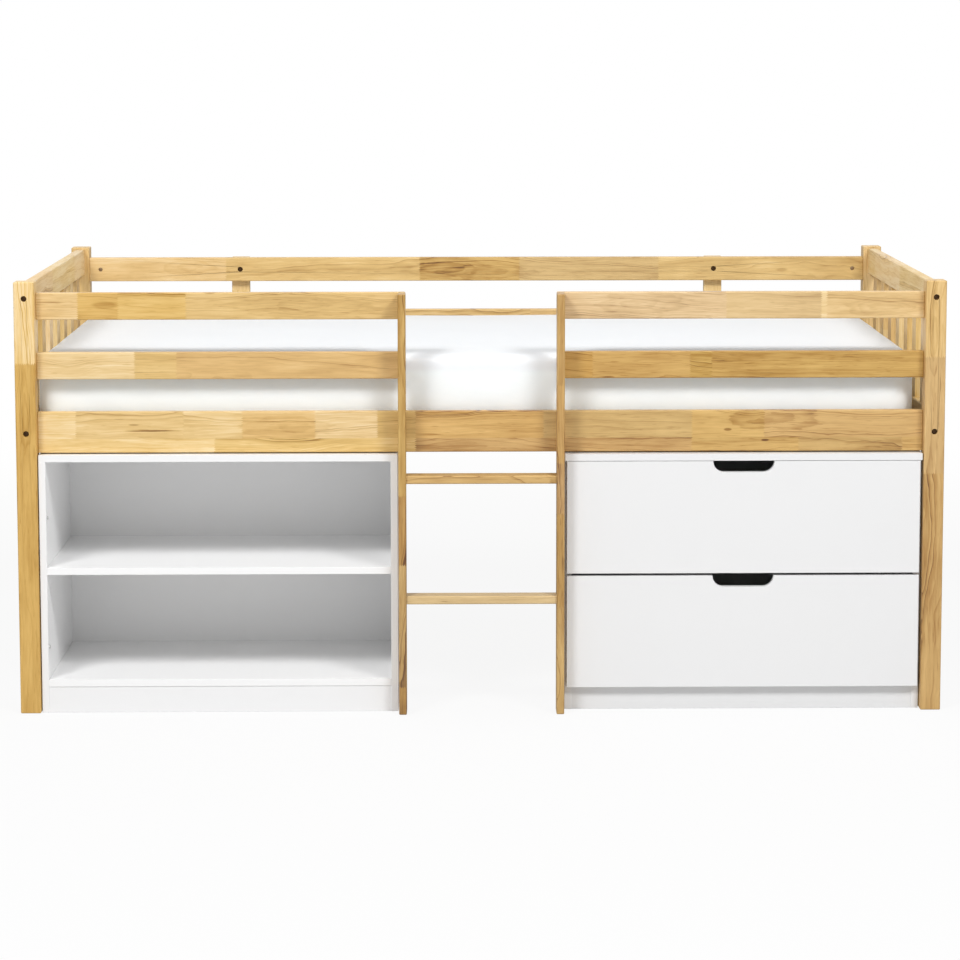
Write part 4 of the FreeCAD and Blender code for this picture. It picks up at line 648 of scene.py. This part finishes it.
turned_fasteners("detailed_barrel_nuts", NUT, NUT_BODY, NUT_LENGTH, NUTS, BRASS)
turned_fasteners("detailed_upright_bolts", BOLT, BOLT_SHANK, UPRIGHT_BOLT, UPRIGHT_BOLTS, BRONZE)
turned_fasteners("detailed_ladder_screws", SCREW, SCREW_SHANK, LADDER_SCREW, LADDER_SCREWS, ZINC)
turned_fasteners("detailed_unit_screws", SCREW, SCREW_SHANK, UNIT_SCREW, UNIT_SCREWS, ZINC)

# Mattress


def make_mattress(sheet):
    """The foam mattress in its sheet, as one closed form.
    Its outline is the CAD solid's, a little smaller, with rounded corners and edges. Cloth pressure swells
    it, so that the top and the sides crown and the corners stay back."""
    low, high = (np.array(corner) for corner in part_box("mattress"))
    # The left end and the front lie almost against the rails, so they start nearer to the bounds
    start, end = low + (0.002, 0.003, 0.002), high - (0.006, 0.006, 0.003)
    bpy.ops.mesh.primitive_cube_add(size=2)
    piece = bpy.context.active_object
    piece.name = "sheeted_mattress"
    piece.scale = (end - start) / 2
    piece.location = (start + end) / 2
    bpy.ops.object.transform_apply(location=True, rotation=True, scale=True)
    corners = piece.modifiers.new("corners", "BEVEL")
    corners.width = 0.05
    corners.segments = 6
    corners.limit_method = "WEIGHT"
    weight = piece.data.attributes.new("bevel_weight_edge", "FLOAT", "EDGE")
    points = np.array([v.co for v in piece.data.vertices])
    ends = points[np.array([edge.vertices[:] for edge in piece.data.edges])]
    # Only the upright edges become corners, and those of the left end are tighter
    upright = np.ptp(ends[..., 2], axis=1) > 0.01
    weight.data.foreach_set("value", upright * np.where(ends[:, 0, 0] < 0, 0.6, 1.0))
    rims = piece.modifiers.new("rims", "BEVEL")
    rims.width = 0.016
    rims.segments = 4
    rims.limit_method = "ANGLE"
    rims.angle_limit = math.radians(60)
    bpy.ops.object.modifier_apply(modifier="corners")
    bpy.ops.object.modifier_apply(modifier="rims")
    remesh = piece.modifiers.new("voxels", "REMESH")
    remesh.mode = "VOXEL"
    remesh.voxel_size = 0.0135  # a finer grid passes the export's limit of triangles
    bpy.ops.object.modifier_apply(modifier="voxels")
    swell(piece, 0.0025)
    crease(piece, low, high)
    smooth = piece.modifiers.new("smooth", "SUBSURF")
    smooth.levels = smooth.render_levels = 1
    bpy.ops.object.modifier_apply(modifier="smooth")
    margin = 0.0003
    keep_inside(piece, low + margin, high - margin)
    bpy.ops.object.shade_smooth()
    piece.data.materials.append(sheet)
    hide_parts("mattress")
    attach(piece, "bed")


def mesh_points(piece):
    """The places of the points, as rows."""
    points = np.empty(len(piece.data.vertices) * 3)
    piece.data.vertices.foreach_get("co", points)
    return points.reshape(-1, 3)


def set_points(piece, points):
    """Moves the points to these places."""
    piece.data.vertices.foreach_set("co", points.ravel())
    piece.data.update()


CLOTH_FRAMES = 20


def swell(piece, most):
    """Cloth with pressure inside, run for a few frames. No point moves further than most, in metres."""
    before = mesh_points(piece)
    cloth = piece.modifiers.new("cloth", "CLOTH")
    cloth.settings.quality = 5
    cloth.settings.mass = 0.3
    cloth.settings.tension_stiffness = 25
    cloth.settings.compression_stiffness = 25
    cloth.settings.shear_stiffness = 12
    cloth.settings.bending_stiffness = 0.6
    cloth.settings.use_pressure = True
    cloth.settings.uniform_pressure_force = 4
    cloth.settings.effector_weights.gravity = 0
    cloth.collision_settings.use_collision = False
    cloth.point_cache.frame_start, cloth.point_cache.frame_end = 1, CLOTH_FRAMES
    for number in range(1, CLOTH_FRAMES + 1):
        scene.frame_set(number)
    bpy.context.view_layer.objects.active = piece
    bpy.ops.object.modifier_apply(modifier="cloth")
    scene.frame_set(1)
    moved = mesh_points(piece) - before
    length = np.linalg.norm(moved, axis=1, keepdims=True)
    set_points(piece, before + moved * np.minimum(1, most / np.maximum(length, 1e-9)))


def crease(piece, low, high):
    """Soft folds of the sheet: on the sides, upright waves that fade towards the top and bottom edges and
    gather at the ends, and on the top, shallow slanting waves. None is deeper than a few millimetres."""
    points = mesh_points(piece)
    x, y, z = points.T
    middle, half = (low + high) / 2, (high - low) / 2
    down = np.clip((high[2] - z) / (high[2] - low[2]), 0, 1)
    near_end = np.clip(1 - (half[0] - np.abs(x - middle[0])) / 0.35, 0, 1)
    fold = 0.6 * np.sin(x * 23 + 6 * down) * np.sin(x * 7.3 + 1) + 0.4 * np.sin(x * 61 - 9 * down + 2)
    side = np.clip((np.abs(y - middle[1]) / half[1] - 0.97) / 0.03, 0, 1) * np.sign(y - middle[1])
    depth = 0.0009 + 0.0022 * near_end
    y -= side * depth * (1 + fold) * np.sin(np.pi * down) ** 0.7
    end = np.clip((np.abs(x - middle[0]) / half[0] - 0.985) / 0.015, 0, 1) * np.sign(x - middle[0])
    fold = 0.6 * np.sin(y * 27 + 5 * down) * np.sin(y * 9.1 + 2) + 0.4 * np.sin(y * 67 - 8 * down)
    x -= end * 0.0016 * (1 + fold) * np.sin(np.pi * down) ** 0.7
    top = np.clip((z - middle[2]) / half[2], 0, 1) ** 6
    z -= top * 0.0009 * (1 + np.sin(x * 11 + y * 5) * np.sin(y * 17 - x * 3 + 1))
    set_points(piece, np.column_stack([x, y, z]))


def keep_inside(piece, low, high):
    """Moves points outside the two corners back to the sides."""
    set_points(piece, np.clip(mesh_points(piece), low, high))


make_mattress(cotton_sheet())

# Stage


WHITE = (1, 1, 1, 1)


def make_floor():
    """A pale floor. The camera sees it almost white, with the object's shadow left in it, and white far
    away."""
    mesh = bpy.data.meshes.new("studio_floor")
    reach, level = 40.0, -0.0005
    corners = [(-reach, -reach, level), (reach, -reach, level), (reach, reach, level), (-reach, reach, level)]
    mesh.from_pydata(corners, [], [(0, 1, 2, 3)])
    floor = bpy.data.objects.new("studio_floor", mesh)
    scene.collection.objects.link(floor)
    material = bpy.data.materials.new("studio_floor_white")
    material.use_nodes = True
    material.node_tree.nodes.clear()
    tree = Tree(material.node_tree)
    diffuse = tree.add("BsdfDiffuse", {"Color": (0.68, 0.68, 0.68, 1)})
    glow = tree.add("Emission", {"Color": WHITE, "Strength": 1.0})
    away = tree.vector("LENGTH", tree.add("TexCoord").outputs["Object"])
    white = tree.between(away, 1.6, 4.0, 0.90, 1.0)
    seen = tree.math("MULTIPLY", tree.add("LightPath").outputs["Is Camera Ray"], white)
    shown = tree.add("MixShader", {0: seen, 1: diffuse, 2: glow})
    tree.add("OutputMaterial", {"Surface": shown})
    floor.data.materials.append(material)


ROOM = 0.385  # how bright the room is in diffuse light
LIGHTS = [  # name, place, size and power
    ("key_left", (-2.75, -4.3, 4.85), (1.5, 1.5), 200),
    ("key_right", (2.75, -4.3, 4.75), (1.5, 1.5), 184),
    ("top_light", (0.0, -0.2, 3.7), (3.4, 1.4), 15),
]
AIM = np.array([0, 0, 0.45])  # the point that every light faces


def make_lights():
    """Two large soft lights in front, left and right, one over the object, and an even white room."""
    world = bpy.data.worlds.new("studio_room")
    scene.world = world
    world.use_nodes = True
    world.node_tree.nodes.clear()
    tree = Tree(world.node_tree)
    path = tree.add("LightPath").outputs
    sharp = tree.math("MAXIMUM", path["Is Glossy Ray"], path["Is Transmission Ray"])
    direct = tree.math("MAXIMUM", path["Is Camera Ray"], sharp)
    strength = tree.math("MULTIPLY_ADD", direct, 1.0 - ROOM, ROOM)
    room = tree.add("Background", {"Color": WHITE, "Strength": strength})
    tree.add("OutputWorld", {"Surface": room})
    for name, place, size, power in LIGHTS:
        data = bpy.data.lights.new(name, "AREA")
        data.shape = "RECTANGLE"
        data.size, data.size_y = size
        data.energy = power
        lamp = bpy.data.objects.new(name, data)
        scene.collection.objects.link(lamp)
        lamp.location = place
        lamp.rotation_euler = Vector(AIM - np.array(place)).to_track_quat("-Z", "Y").to_euler()


def make_camera():
    """The photograph's view: from the front, 6.6 m away, above the middle of the bed and looking slightly
    down. The fit to the photo's edges gave the focal length in pixels."""
    focal_pixels, photo_width = 2901.853, 960
    data = bpy.data.cameras.new("photo_camera")
    camera = bpy.data.objects.new("photo_camera", data)
    scene.collection.objects.link(camera)
    data.sensor_width = 36.0
    data.lens = focal_pixels / photo_width * data.sensor_width
    data.shift_x, data.shift_y = -0.016416, -0.14
    data.clip_start, data.clip_end = 0.1, 200
    yaw, pitch, roll = 0.015505, 0.110661, 0.000509
    camera.location = (-0.063787, -6.608390, 1.473861)
    camera.rotation_euler = (math.pi / 2 - pitch, roll, -yaw)
    scene.camera = camera


make_floor()
make_lights()
make_camera()
scene.view_settings.view_transform = "Standard"
